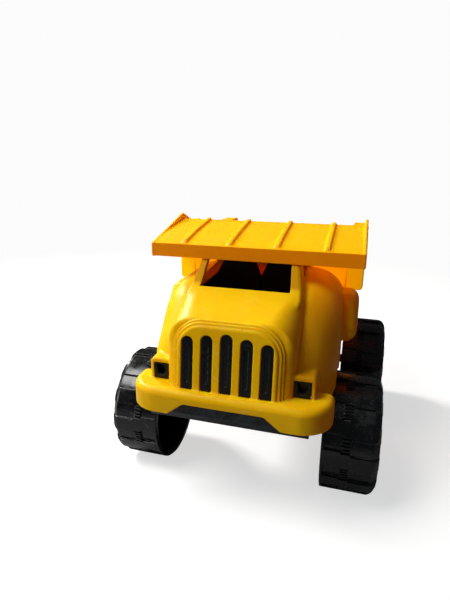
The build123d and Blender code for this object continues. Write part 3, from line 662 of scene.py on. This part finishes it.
# ---------------------------------------------------------------------------
# Wheel, about its own axle; x is the part's own x for the left front wheel
# ---------------------------------------------------------------------------
WEB = FRONT_IN + 42.2
wheel_ring = Profile([(FRONT_IN, 49.4), (FRONT_IN, 52.1), (FRONT_IN + 43.2, 52.1),
                      (WX1 - 0.4, 47.0), (WX1, 41.0), (WX1 - 1.5, 39.9), (WEB + 0.4, 36.8), (WEB, 35.6),
                      (WEB, 2.06), (WX0, 2.06), (WX0, 5.2), (WEB - 3.4, 6.2), (WEB - 3.4, 35.0),
                      (WEB + 2.8, 39.0), (WEB + 3.1, 45.5), (WEB - 0.8, 49.4)], pad=15, cell=0.25)
PITCH_A = math.radians(30)
TREAD_TURN = 0.0


def wheel(x, y, z):
    r = hyp(y, z)
    a = np.arctan2(z, y)
    s = wheel_ring(x, r)
    s = rmax(s, -s - F(40), 0.1)
    inb, mid = F(FRONT_IN + 16.4), F(FRONT_IN + 24.4)
    sh = np.where(x < inb, F(0), np.where(x < mid, F(math.radians(2)), F(math.radians(4))))
    b = a - sh
    b = b - F(PITCH_A) * np.round(b / F(PITCH_A))
    arc = (np.abs(b) - F(math.radians(7.6))) * r
    bar = rmax(arc, r - F(WHEEL_R), 0.55)
    # smooth band along the inboard rim
    rim = rmax(r - F(WHEEL_R - 0.25), x - F(FRONT_IN + 2.6), 0.5)
    bar = np.minimum(bar, np.maximum(rim, F(50) - r))
    bar = rmax(bar, F(FRONT_IN) - x, 0.8)
    bar = np.maximum(bar, x - F(WX1))
    # the shoulder falls away from the tread to the side wall
    chamfer = ((x - F(FRONT_IN + 43.8)) * F(5.7) + (r - F(WHEEL_R)) * F(5.1)) / F(7.65)
    bar = rmax(bar, chamfer, 2.5)
    bar = np.maximum(bar, F(50.6) - r - F(1.9) * np.clip(x - F(FRONT_IN + 42.0), 0, 3))
    s = rmin(s, bar, 0.4)
    # fine ribs between the bars of the centre band
    c = a - F(math.radians(17))
    c = c - F(PITCH_A) * np.round(c / F(PITCH_A))
    p = F(math.radians(3.3))
    c = c - p * (np.clip(np.round(c / p - F(0.5)), -2, 1) + F(0.5))
    fine = rmax((np.abs(c) - F(math.radians(0.8))) * r, r - F(WHEEL_R - 0.6), 0.45)
    fine = rmax(fine, np.abs(x - F(FRONT_IN + 20.4)) - F(3.5), 0.5)
    fine = np.maximum(fine, F(51) - r)
    s = rmin(s, fine, 0.3)
    # the web's spokes and studs; a raised ring on the side wall is worked out but not added to the
    # shape
    lip = rmax(np.abs(r - F(43.9)) - F(0.9), x - F(WX1 + 0.0), 0.3)
    d = a - F(math.radians(60)) * np.round(a / F(math.radians(60)))
    u, v = r * np.cos(d), r * np.sin(d)
    spoke = rmax(np.abs(v) - F(1.1), np.maximum(F(4.8) - r, r - F(35.5)), 0.2)
    spoke = np.maximum(spoke, np.abs(x - F(FRONT_IN + 32.6)) - F(6.3))
    s = rmin(s, spoke, 0.4)
    hx = np.maximum(np.abs(v), np.abs(v) * F(0.5) + np.abs(u - F(22)) * F(0.866)) - F(3.46)
    stud = rmax(hx, x - F(WEB + 1.8), 0.6)
    stud = np.maximum(stud, F(WEB - 1) - x)
    s = rmin(s, stud, 0.5)
    boss = rmax(r - F(8.2), x - F(WEB + 0.15), 0.3)
    return s


wheel_lo = (WX0 - 2, -WHEEL_R - 2, -WHEEL_R - 2)
wheel_hi = (WX1 + 2, WHEEL_R + 2, WHEEL_R + 2)


# ---------------------------------------------------------------------------
# Materials: all node based, no images
# ---------------------------------------------------------------------------
def srgb(h):
    v = [int(h[i:i + 2], 16) / 255 for i in (1, 3, 5)]
    return [c / 12.92 if c <= 0.04045 else ((c + 0.055) / 1.055) ** 2.4 for c in v] + [1.0]


class Nodes:
    def __init__(self, name):
        self.m = bpy.data.materials.new(name)
        self.m.use_nodes = True
        self.t = self.m.node_tree
        self.t.nodes.clear()
        self.out = self.add("ShaderNodeOutputMaterial")
        self.geo = self.add("ShaderNodeNewGeometry")
        self.tex = self.add("ShaderNodeTexCoord")

    def add(self, kind, **props):
        n = self.t.nodes.new(kind)
        for k, v in props.items():
            setattr(n, k, v)
        return n

    def link(self, a, b):
        self.t.links.new(a, b)

    def val(self, sock, v):
        if isinstance(v, (int, float, list, tuple)):
            sock.default_value = v
        else:
            self.link(v, sock)

    def noise(self, scale, detail=2.0, rough=0.5, stretch=None, distortion=0.0):
        n = self.add("ShaderNodeTexNoise")
        n.inputs["Scale"].default_value = scale
        n.inputs["Detail"].default_value = detail
        n.inputs["Roughness"].default_value = rough
        n.inputs["Distortion"].default_value = distortion
        src = self.tex.outputs["Object"]
        if stretch:
            mp = self.add("ShaderNodeMapping")
            mp.inputs["Scale"].default_value = stretch[0]
            mp.inputs["Rotation"].default_value = stretch[1]
            self.link(src, mp.inputs["Vector"])
            src = mp.outputs["Vector"]
        self.link(src, n.inputs["Vector"])
        return n.outputs["Fac"]

    def ramp(self, src, a, b, lo=0.0, hi=1.0, smooth=True):
        n = self.add("ShaderNodeMapRange")
        if smooth:
            n.interpolation_type = "SMOOTHSTEP"
        for k, v in (("From Min", a), ("From Max", b), ("To Min", lo), ("To Max", hi)):
            n.inputs[k].default_value = v
        self.link(src, n.inputs["Value"])
        return n.outputs["Result"]

    def math(self, op, a, b=0.0, clamp=False):
        n = self.add("ShaderNodeMath", operation=op, use_clamp=clamp)
        self.val(n.inputs[0], a)
        self.val(n.inputs[1], b)
        return n.outputs[0]

    def mix(self, fac, a, b, blend="MIX"):
        n = self.add("ShaderNodeMix", data_type="RGBA", blend_type=blend)
        self.val(n.inputs[0], fac)
        self.val(n.inputs[6], a)
        self.val(n.inputs[7], b)
        return n.outputs[2]

    def bump(self, height, strength, distance, normal=None):
        n = self.add("ShaderNodeBump")
        n.inputs["Strength"].default_value = strength
        n.inputs["Distance"].default_value = distance
        self.link(height, n.inputs["Height"])
        if normal is not None:
            self.link(normal, n.inputs["Normal"])
        return n.outputs["Normal"]

    def done(self, shader):
        self.link(shader, self.out.inputs["Surface"])
        return self.m


def scratches(n, scale, angle, width=0.012, seed=0.0):
    """Thin broken lines: a stretched noise cut to a narrow band."""
    f = n.noise(scale, 1.0, 0.4, stretch=((1.0, 18.0, 1.0), (0.0, seed, angle)))
    band = n.math("ABSOLUTE", n.math("SUBTRACT", f, 0.5))
    line = n.ramp(band, 0.0, width, 1.0, 0.0)
    gate = n.ramp(n.noise(scale * 2.3, 2.0, 0.5), 0.56, 0.68)
    return n.math("MULTIPLY", line, gate)


def yellow_plastic(name, base, pale, deep, sss=0.35, rough=0.34, glow=0.0, front_wall_glow=None,
                   shade=None):
    n = Nodes(name)
    p = n.add("ShaderNodeBsdfPrincipled")
    broad = n.noise(16.0, 3.0, 0.55, distortion=0.4)
    cloud = n.noise(55.0, 4.0, 0.6, distortion=0.8)
    grain = n.noise(1400.0, 2.0, 0.6)
    fine = n.noise(260.0, 3.0, 0.6)
    col = n.mix(n.ramp(broad, 0.38, 0.66, 0.0, 0.55), base, pale)
    col = n.mix(n.ramp(cloud, 0.46, 0.72, 0.0, 0.32), col, deep)
    # handling smudges: greyer, duller patches
    smudge = n.math("MULTIPLY", n.ramp(n.noise(38.0, 5.0, 0.7, distortion=1.5), 0.55, 0.72),
                    n.ramp(fine, 0.35, 0.62))
    col = n.mix(n.math("MULTIPLY", smudge, 0.20), col, srgb("#b88a18"))
    # rubbed edges catch a paler tone
    edge = n.ramp(n.geo.outputs["Pointiness"], 0.53, 0.62)
    edge = n.math("MULTIPLY", edge, n.ramp(cloud, 0.35, 0.6))
    col = n.mix(n.math("MULTIPLY", edge, 0.35), col, srgb("#ffdf7a"))
    # painted shade: creases and hollows are mixed towards a dark orange-brown
    crease_shade = n.ramp(n.geo.outputs["Pointiness"], 0.485, 0.42)
    col = n.mix(n.math("MULTIPLY", crease_shade, 0.35), col, srgb("#9a5a06"))
    sc = n.math("MAXIMUM", scratches(n, 26.0, 0.5), scratches(n, 34.0, 2.0, 0.009, 0.7))
    col = n.mix(n.math("MULTIPLY", sc, 0.22), col, srgb("#ffe9a0"))
    specks = n.ramp(n.noise(620.0, 1.0, 0.4), 0.72, 0.76)
    col = n.mix(n.math("MULTIPLY", specks, 0.35), col, srgb("#7a5214"))
    # the wall glows deeper on the faces turned away from the light
    nx = n.add("ShaderNodeSeparateXYZ")
    n.link(n.tex.outputs["Normal"], nx.inputs[0])
    at = n.add("ShaderNodeSeparateXYZ")
    n.link(n.tex.outputs["Object"], at.inputs[0])
    power = glow
    if shade:
        away = n.ramp(nx.outputs["X"], 0.30, 0.85, 0.0, shade)
        # the far fender stands in the shadow of the hood and the canopy
        hid = n.math("MULTIPLY", n.ramp(at.outputs["X"], 0.050, 0.062),
                     n.ramp(at.outputs["Z"], 0.122, 0.138))
        hid = n.math("MULTIPLY", hid, n.ramp(at.outputs["Y"], -0.045, -0.075))
        away = n.math("MAXIMUM", away, n.math("MULTIPLY", hid, shade * 0.8))
        # the window frame is shaded by the canopy above it
        frame_at = n.math("MULTIPLY", n.ramp(at.outputs["Z"], 0.1925, 0.1960),
                          n.ramp(n.math("ABSOLUTE", at.outputs["X"]), 0.057, 0.052))
        frame_at = n.math("MULTIPLY", frame_at, n.ramp(nx.outputs["Y"], -0.15, -0.45))
        away = n.math("MAXIMUM", away, n.math("MULTIPLY", frame_at, 0.60))
        # painted glow: the upper part of the cab's far side, over the fender, gets extra orange
        # emission
        fender_glow = n.math("MULTIPLY", n.ramp(at.outputs["X"], 0.048, 0.062),
                      n.ramp(at.outputs["Z"], 0.150, 0.195))
        col = n.mix(away, col, [0.27, 0.085, 0.0003, 1])
        power = n.math("ADD", power, n.math("MULTIPLY", away, 0.03))
        power = n.math("ADD", power, n.math("MULTIPLY", fender_glow, 0.10))
    # painted shade and glow on faces looking straight ahead: the canopy lip turns a darker orange with
    # a little emission, and the bed's front wall behind it glows yellow-orange
    if front_wall_glow:
        ahead = n.ramp(nx.outputs["Y"], -0.75, -0.97)
        inner = n.math("MULTIPLY", ahead, n.ramp(at.outputs["Y"], -0.045, -0.035))
        lip = n.math("SUBTRACT", ahead, inner, clamp=True)
        col = n.mix(n.math("MULTIPLY", lip, 0.75), col, [0.36, 0.135, 0.0003, 1])
        power = n.math("ADD", power, n.math("MULTIPLY", lip, 0.13))
        power = n.math("ADD", power, n.math("MULTIPLY", inner, front_wall_glow))
        glow_colour = n.mix(inner, [1.0, 0.16, 0.0, 1], [1.0, 0.46, 0.0, 1])
        n.link(glow_colour, p.inputs["Emission Color"])
    n.link(col, p.inputs["Base Color"])
    r = n.math("ADD", n.ramp(cloud, 0.35, 0.7, rough - 0.07, rough + 0.10),
               n.math("MULTIPLY", smudge, 0.22))
    r = n.math("ADD", r, n.math("MULTIPLY", sc, 0.15), clamp=True)
    n.link(r, p.inputs["Roughness"])
    p.inputs["IOR"].default_value = 1.5
    p.inputs["Specular IOR Level"].default_value = 0.09
    p.subsurface_method = "RANDOM_WALK"
    p.inputs["Subsurface Weight"].default_value = sss
    p.inputs["Subsurface Radius"].default_value = (1.0, 0.30, 0.02)
    p.inputs["Subsurface Scale"].default_value = 0.0060
    # light carried inside the wall, deepest orange where little falls on it
    p.inputs["Emission Color"].default_value = (1.0, 0.16, 0.0, 1)
    n.val(p.inputs["Emission Strength"], power)
    nrm = n.bump(n.noise(90.0, 3.0, 0.5), 0.16, 0.0006)
    nrm = n.bump(grain, 0.10, 0.0001, nrm)
    nrm = n.bump(sc, 0.15, -0.0001, nrm)
    n.link(nrm, p.inputs["Normal"])
    return n.done(p.outputs["BSDF"])


def black_plastic(name, base="#0e1013", grey="#23282d", rough=0.30, dust=0.5, bevel=False, gloss=0.3):
    n = Nodes(name)
    p = n.add("ShaderNodeBsdfPrincipled")
    broad = n.noise(20.0, 3.0, 0.6, distortion=0.6)
    cloud = n.noise(80.0, 4.0, 0.65, distortion=0.8)
    col = n.mix(n.ramp(broad, 0.35, 0.7), srgb(base), srgb(grey))
    sc = n.math("MAXIMUM", scratches(n, 30.0, 0.9), scratches(n, 42.0, 2.4, 0.010, 1.1))
    col = n.mix(n.math("MULTIPLY", sc, 0.14), col, srgb("#7d848a"))
    edge = n.math("MULTIPLY", n.ramp(n.geo.outputs["Pointiness"], 0.54, 0.66),
                  n.ramp(cloud, 0.40, 0.62))
    col = n.mix(n.math("MULTIPLY", edge, 0.30), col, srgb("#59606a"))
    # dust: light specks all over and a film in the hollows
    specks = n.ramp(n.noise(700.0, 1.0, 0.4), 0.69, 0.74)
    film = n.math("MULTIPLY", n.ramp(n.noise(120.0, 4.0, 0.7), 0.48, 0.70),
                  n.ramp(n.geo.outputs["Pointiness"], 0.52, 0.44, 0.25, 1.0))
    dirt = n.math("MULTIPLY", n.math("MAXIMUM", specks, n.math("MULTIPLY", film, 0.35)), dust)
    col = n.mix(n.math("MULTIPLY", dirt, 0.42), col, srgb("#8e8a80"))
    n.link(col, p.inputs["Base Color"])
    r = n.math("ADD", n.ramp(cloud, 0.35, 0.7, rough - 0.06, rough + 0.14),
               n.math("MULTIPLY", dirt, 0.35), clamp=True)
    n.link(r, p.inputs["Roughness"])
    p.inputs["IOR"].default_value = 1.5
    p.inputs["Specular IOR Level"].default_value = gloss
    nrm = None
    if bevel:
        b = n.add("ShaderNodeBevel", samples=4)
        b.inputs["Radius"].default_value = 0.0006
        nrm = b.outputs["Normal"]
    nrm = n.bump(n.noise(110.0, 3.0, 0.5), 0.14, 0.0006, nrm)
    nrm = n.bump(n.noise(1500.0, 2.0, 0.6), 0.10, 0.0001, nrm)
    n.link(nrm, p.inputs["Normal"])
    return n.done(p.outputs["BSDF"])


def steel(name, base, rough=0.25, along_x=True):
    n = Nodes(name)
    p = n.add("ShaderNodeBsdfPrincipled")
    lines = n.noise(300.0, 2.0, 0.6, stretch=((0.04, 1.0, 1.0) if along_x else (1, 1, 0.05),
                                              (0, 0, 0)))
    spot = n.ramp(n.noise(240.0, 4.0, 0.7), 0.56, 0.72)
    col = n.mix(n.ramp(lines, 0.3, 0.7), srgb(base), srgb("#8f9396"))
    col = n.mix(n.math("MULTIPLY", spot, 0.5), col, srgb("#6b5a48"))
    n.link(col, p.inputs["Base Color"])
    n.link(n.ramp(spot, 0, 1, 0.95, 0.55), p.inputs["Metallic"])
    n.link(n.math("ADD", n.ramp(lines, 0.3, 0.7, rough, rough + 0.12),
                  n.math("MULTIPLY", spot, 0.25)), p.inputs["Roughness"])
    b = n.add("ShaderNodeBevel", samples=4)
    b.inputs["Radius"].default_value = 0.0003
    n.link(n.bump(lines, 0.2, 0.00005, b.outputs["Normal"]), p.inputs["Normal"])
    return n.done(p.outputs["BSDF"])


MATS = {
    "yellow_body": yellow_plastic("toy_yellow_body", [0.83, 0.475, 0.001, 1], [0.86, 0.52, 0.008, 1],
                                  [0.80, 0.40, 0.0005, 1], sss=0.5, rough=0.40, glow=0.035, shade=0.62),
    "yellow_bed": yellow_plastic("toy_yellow_bed", [0.93, 0.46, 0.0008, 1], [0.95, 0.50, 0.004, 1],
                                 [0.90, 0.40, 0.0005, 1], sss=0.6, rough=0.44,
                                 glow=0.09, front_wall_glow=0.42),
    "black_trim": black_plastic("toy_black_trim", "#050708", "#0a0d0f", 0.32, 0.05),
    "black_interior": black_plastic("toy_black_interior", "#060606", "#0b0b0c", 0.42, 0.1),
    "black_chassis": black_plastic("toy_black_chassis", "#050606", "#0a0c0d", 0.30, 0.2,
                                   bevel=True),
    "black_wheel": black_plastic("toy_black_wheel", "#060708", "#0b0e11", 0.20, 0.3, gloss=0.55),
    "steel_rod": steel("toy_steel_rod", "#b9bcbf", 0.22),
    "steel_cap": steel("toy_steel_cap", "#c6c8ca", 0.2, False),
    "steel_screw": steel("toy_steel_screw", "#a9acae", 0.3, False),
}

rec = frame["record"]
node_slot = {}


def find_slots(value):
    """Node-to-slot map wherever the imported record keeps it."""
    if isinstance(value, dict):
        for k, v in value.items():
            if k in frame["nodes"] and isinstance(v, str) and v in MATS:
                node_slot[k] = v
            else:
                find_slots(v)
    elif isinstance(value, list):
        for v in value:
            if isinstance(v, dict):
                nm, sl = v.get("node"), v.get("slot") or v.get("material_slot")
                if nm in frame["nodes"] and sl in MATS:
                    node_slot[nm] = sl
            find_slots(v)


find_slots(rec)
default_slot = {
    "chassis": "black_chassis", "front_axle": "steel_rod", "rear_axle": "steel_rod",
    "hinge_pin": "steel_rod", "hinge_pin_caps": "steel_cap", "cab_screws": "steel_screw",
    "seat_screws": "steel_screw",
}
for where in ("front", "rear"):
    for side in ("left", "right"):
        default_slot["axle_cap_%s_%s" % (where, side)] = "steel_cap"


def paint(ob, slot):
    me = ob.data
    if not me.materials:
        me.materials.append(MATS[slot])
    for s in ob.material_slots:
        s.material = MATS[slot]


# ---------------------------------------------------------------------------
# Build the pieces
# ---------------------------------------------------------------------------
node_body = {n: b for b, ns in rec["behaviour"]["bodies"].items() for n in ns}


def adopt(ob, node, slot):
    paint(ob, slot)
    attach(ob, node_body[node])
    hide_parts(node)


shell, _ = field_piece("cab_shell_skin", cab, cab_lo, cab_hi, 0.8, 190000)
adopt(shell, "cab_shell", "yellow_body")

tray, _ = field_piece("dump_bed_skin", bed, bed_lo, bed_hi, 0.85, 185000)
adopt(tray, "dump_bed", "yellow_bed")

bars, _ = field_piece("grille_bars", grille, (-43, -88, 113), (43, -74, 172), 0.6, 40000)
adopt(bars, "grille_insert", "black_trim")

bz, g_bz = field_piece("headlight_left_frame", bezel, (51, -75, 117), (69, -62, 135), 0.35, 16000)
adopt(bz, "headlight_bezel_left", "black_trim")


def flipped(ob, name, matrix):
    """Copy of a mesh through a mirroring matrix, faces turned outwards again."""
    me = ob.data.copy()
    me.name = name
    nl = len(me.loops)
    n = np.empty(nl * 3, np.float32)
    me.corner_normals.foreach_get("vector", n)
    co = np.empty(len(me.vertices) * 3, np.float32)
    me.vertices.foreach_get("co", co)
    m = np.array(matrix.to_4x4(), float)
    co = co.reshape(-1, 3) @ m[:3, :3].T + m[:3, 3]
    me.vertices.foreach_set("co", co.astype(np.float32).ravel())
    n = n.reshape(-1, 3) @ np.linalg.inv(m[:3, :3])
    if np.linalg.det(m[:3, :3]) < 0:
        starts = np.empty(len(me.polygons), np.int32)
        totals = np.empty(len(me.polygons), np.int32)
        me.polygons.foreach_get("loop_start", starts)
        me.polygons.foreach_get("loop_total", totals)
        me.flip_normals()
        ends = starts + totals - 1
        order = np.arange(nl)
        # flip_normals keeps each face's first corner and reverses the rest
        for t in np.unique(totals):
            sel = starts[totals == t]
            src = np.array([0] + list(range(t - 1, 0, -1)))
            order[(sel[:, None] + np.arange(t)).ravel()] = (sel[:, None] + src).ravel()
        n = n[order]
    me.update()
    me.normals_split_custom_set(n.astype(np.float32).tolist())
    new = bpy.data.objects.new(name, me)
    bpy.context.scene.collection.objects.link(new)
    return new


bz2 = flipped(bz, "headlight_right_frame", Matrix.Diagonal((-1, 1, 1, 1)))
adopt(bz2, "headlight_bezel_right", "black_trim")

seats, _ = field_piece("seat_pair", seat, (-50, -28, 96), (50, 52, 210), 0.9, 60000)
adopt(seats, "seat_unit", "black_interior")

w0, _ = field_piece("wheel_front_left_tyre", wheel, wheel_lo, wheel_hi, 0.55, 190000,
                    place=lambda p: p)
lift = Matrix.Translation((0, FA / 1000, AXLE_Z / 1000))
turns = {"front": math.radians(-2.6), "rear": math.radians(-13.6)}
for where, ay, off in (("front", FA, 0.0), ("rear", RA, REAR_OFF)):
    for side, s in (("left", 1), ("right", -1)):
        m = (Matrix.Translation((s * off / 1000, ay / 1000, AXLE_Z / 1000))
             @ Matrix.Rotation(turns[where], 4, "X") @ Matrix.Diagonal((s, 1, 1, 1)))
        ob = flipped(w0, "tyre_%s_%s" % (where, side), m)
        adopt(ob, "wheel_%s_%s" % (where, side), "black_wheel")
bpy.data.objects.remove(w0)

for node, slot in default_slot.items():
    paint(frame["nodes"][node], node_slot.get(node, slot))
say("pieces done")

# ---------------------------------------------------------------------------
# Floor, light, camera
# ---------------------------------------------------------------------------
floor_me = bpy.data.meshes.new("floor")
N = 48
R = 6.0
fv = [(0.0, 0.0, 0.0)] + [(R * math.cos(2 * math.pi * i / N), R * math.sin(2 * math.pi * i / N), 0.0)
                          for i in range(N)]
floor_me.from_pydata(fv, [], [(0, 1 + i, 1 + (i + 1) % N) for i in range(N)])
floor = bpy.data.objects.new("floor", floor_me)
bpy.context.scene.collection.objects.link(floor)
nf = Nodes("pale_floor")
fp = nf.add("ShaderNodeBsdfPrincipled")
fp.inputs["Roughness"].default_value = 0.75
fp.inputs["Specular IOR Level"].default_value = 0.2
em = nf.add("ShaderNodeEmission")
em.inputs["Color"].default_value = (1, 1, 1, 1)
lp = nf.add("ShaderNodeLightPath")
nf.link(nf.math("MULTIPLY", lp.outputs["Is Camera Ray"], 0.62), em.inputs["Strength"])
nf.link(nf.mix(lp.outputs["Is Camera Ray"], [0.26, 0.26, 0.27, 1], [0.62, 0.62, 0.62, 1]),
        fp.inputs["Base Color"])
addn = nf.add("ShaderNodeAddShader")
nf.link(fp.outputs["BSDF"], addn.inputs[0])
nf.link(em.outputs["Emission"], addn.inputs[1])
# further out the floor runs into the backdrop
far = nf.add("ShaderNodeEmission")
far.inputs["Color"].default_value = (1, 1, 1, 1)
nf.link(nf.math("MULTIPLY", lp.outputs["Is Camera Ray"], 0.97), far.inputs["Strength"])
ln = nf.add("ShaderNodeVectorMath", operation="LENGTH")
nf.link(nf.tex.outputs["Object"], ln.inputs[0])
fade = nf.add("ShaderNodeMixShader")
nf.link(nf.ramp(ln.outputs["Value"], 0.35, 1.3), fade.inputs[0])
nf.link(addn.outputs[0], fade.inputs[1])
nf.link(far.outputs[0], fade.inputs[2])
floor_me.materials.append(nf.done(fade.outputs[0]))

world = bpy.data.worlds.new("studio")
bpy.context.scene.world = world
world.use_nodes = True
wt = world.node_tree
wt.nodes.clear()
wo = wt.nodes.new("ShaderNodeOutputWorld")
path = wt.nodes.new("ShaderNodeLightPath")
wm = wt.nodes.new("ShaderNodeMixShader")
dim = wt.nodes.new("ShaderNodeBackground")
dim.inputs["Color"].default_value = (0.86, 0.93, 1.0, 1)
dim.inputs["Strength"].default_value = 0.07
seen = wt.nodes.new("ShaderNodeBackground")
seen.inputs["Color"].default_value = (1, 1, 1, 1)
seen.inputs["Strength"].default_value = 0.97
wt.links.new(path.outputs["Is Camera Ray"], wm.inputs[0])
wt.links.new(dim.outputs[0], wm.inputs[1])
wt.links.new(seen.outputs[0], wm.inputs[2])
wt.links.new(wm.outputs[0], wo.inputs["Surface"])


def lamp(name, at, look, size, watts, colour=(1, 1, 1)):
    data = bpy.data.lights.new(name, "AREA")
    data.shape = "RECTANGLE"
    data.size, data.size_y = size
    data.energy = watts
    data.color = colour
    ob = bpy.data.objects.new(name, data)
    bpy.context.scene.collection.objects.link(ob)
    ob.location = at
    ob.rotation_euler = (Vector(look) - Vector(at)).to_track_quat("-Z", "Y").to_euler()
    return ob


lamp("sky", (-0.60, -0.52, 1.22), (0.0, -0.06, 0.14), (0.72, 0.72), 16.5, (1.0, 0.99, 0.96))
lamp("sun", (-1.20, 0.62, 0.95), (0.0, 0.03, 0.18), (0.35, 0.35), 28, (1.0, 0.97, 0.92))
lamp("side", (-1.40, -0.95, 0.42), (0.0, -0.12, 0.12), (0.55, 0.55), 3.8, (0.86, 0.93, 1.0))

cam_data = bpy.data.cameras.new("camera")
cam = bpy.data.objects.new("camera", cam_data)
bpy.context.scene.collection.objects.link(cam)
yaw, pitch, roll = (math.radians(v) for v in (16.4857685, 16.11427757, 0.50814692))
fwd = Vector((-math.sin(yaw) * math.cos(pitch), math.cos(yaw) * math.cos(pitch), -math.sin(pitch)))
right = Vector((math.cos(yaw), math.sin(yaw), 0))
up = right.cross(fwd)
r2 = math.cos(roll) * right + math.sin(roll) * up
u2 = -math.sin(roll) * right + math.cos(roll) * up
rot = Matrix((r2, u2, -fwd)).transposed().to_4x4()
cam.matrix_world = Matrix.Translation((0.093202, (FA - 400.952) / 1000, 0.293013)) @ rot
cam_data.sensor_fit = "AUTO"
cam_data.sensor_width = 36.0
cam_data.lens = 454.5 * 36.0 / 600.0
cam_data.clip_start = 0.01
bpy.context.scene.camera = cam
bpy.context.scene.view_settings.view_transform = "Standard"
bpy.context.scene.view_settings.look = "None"

import json
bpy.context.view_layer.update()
say("scene ready")
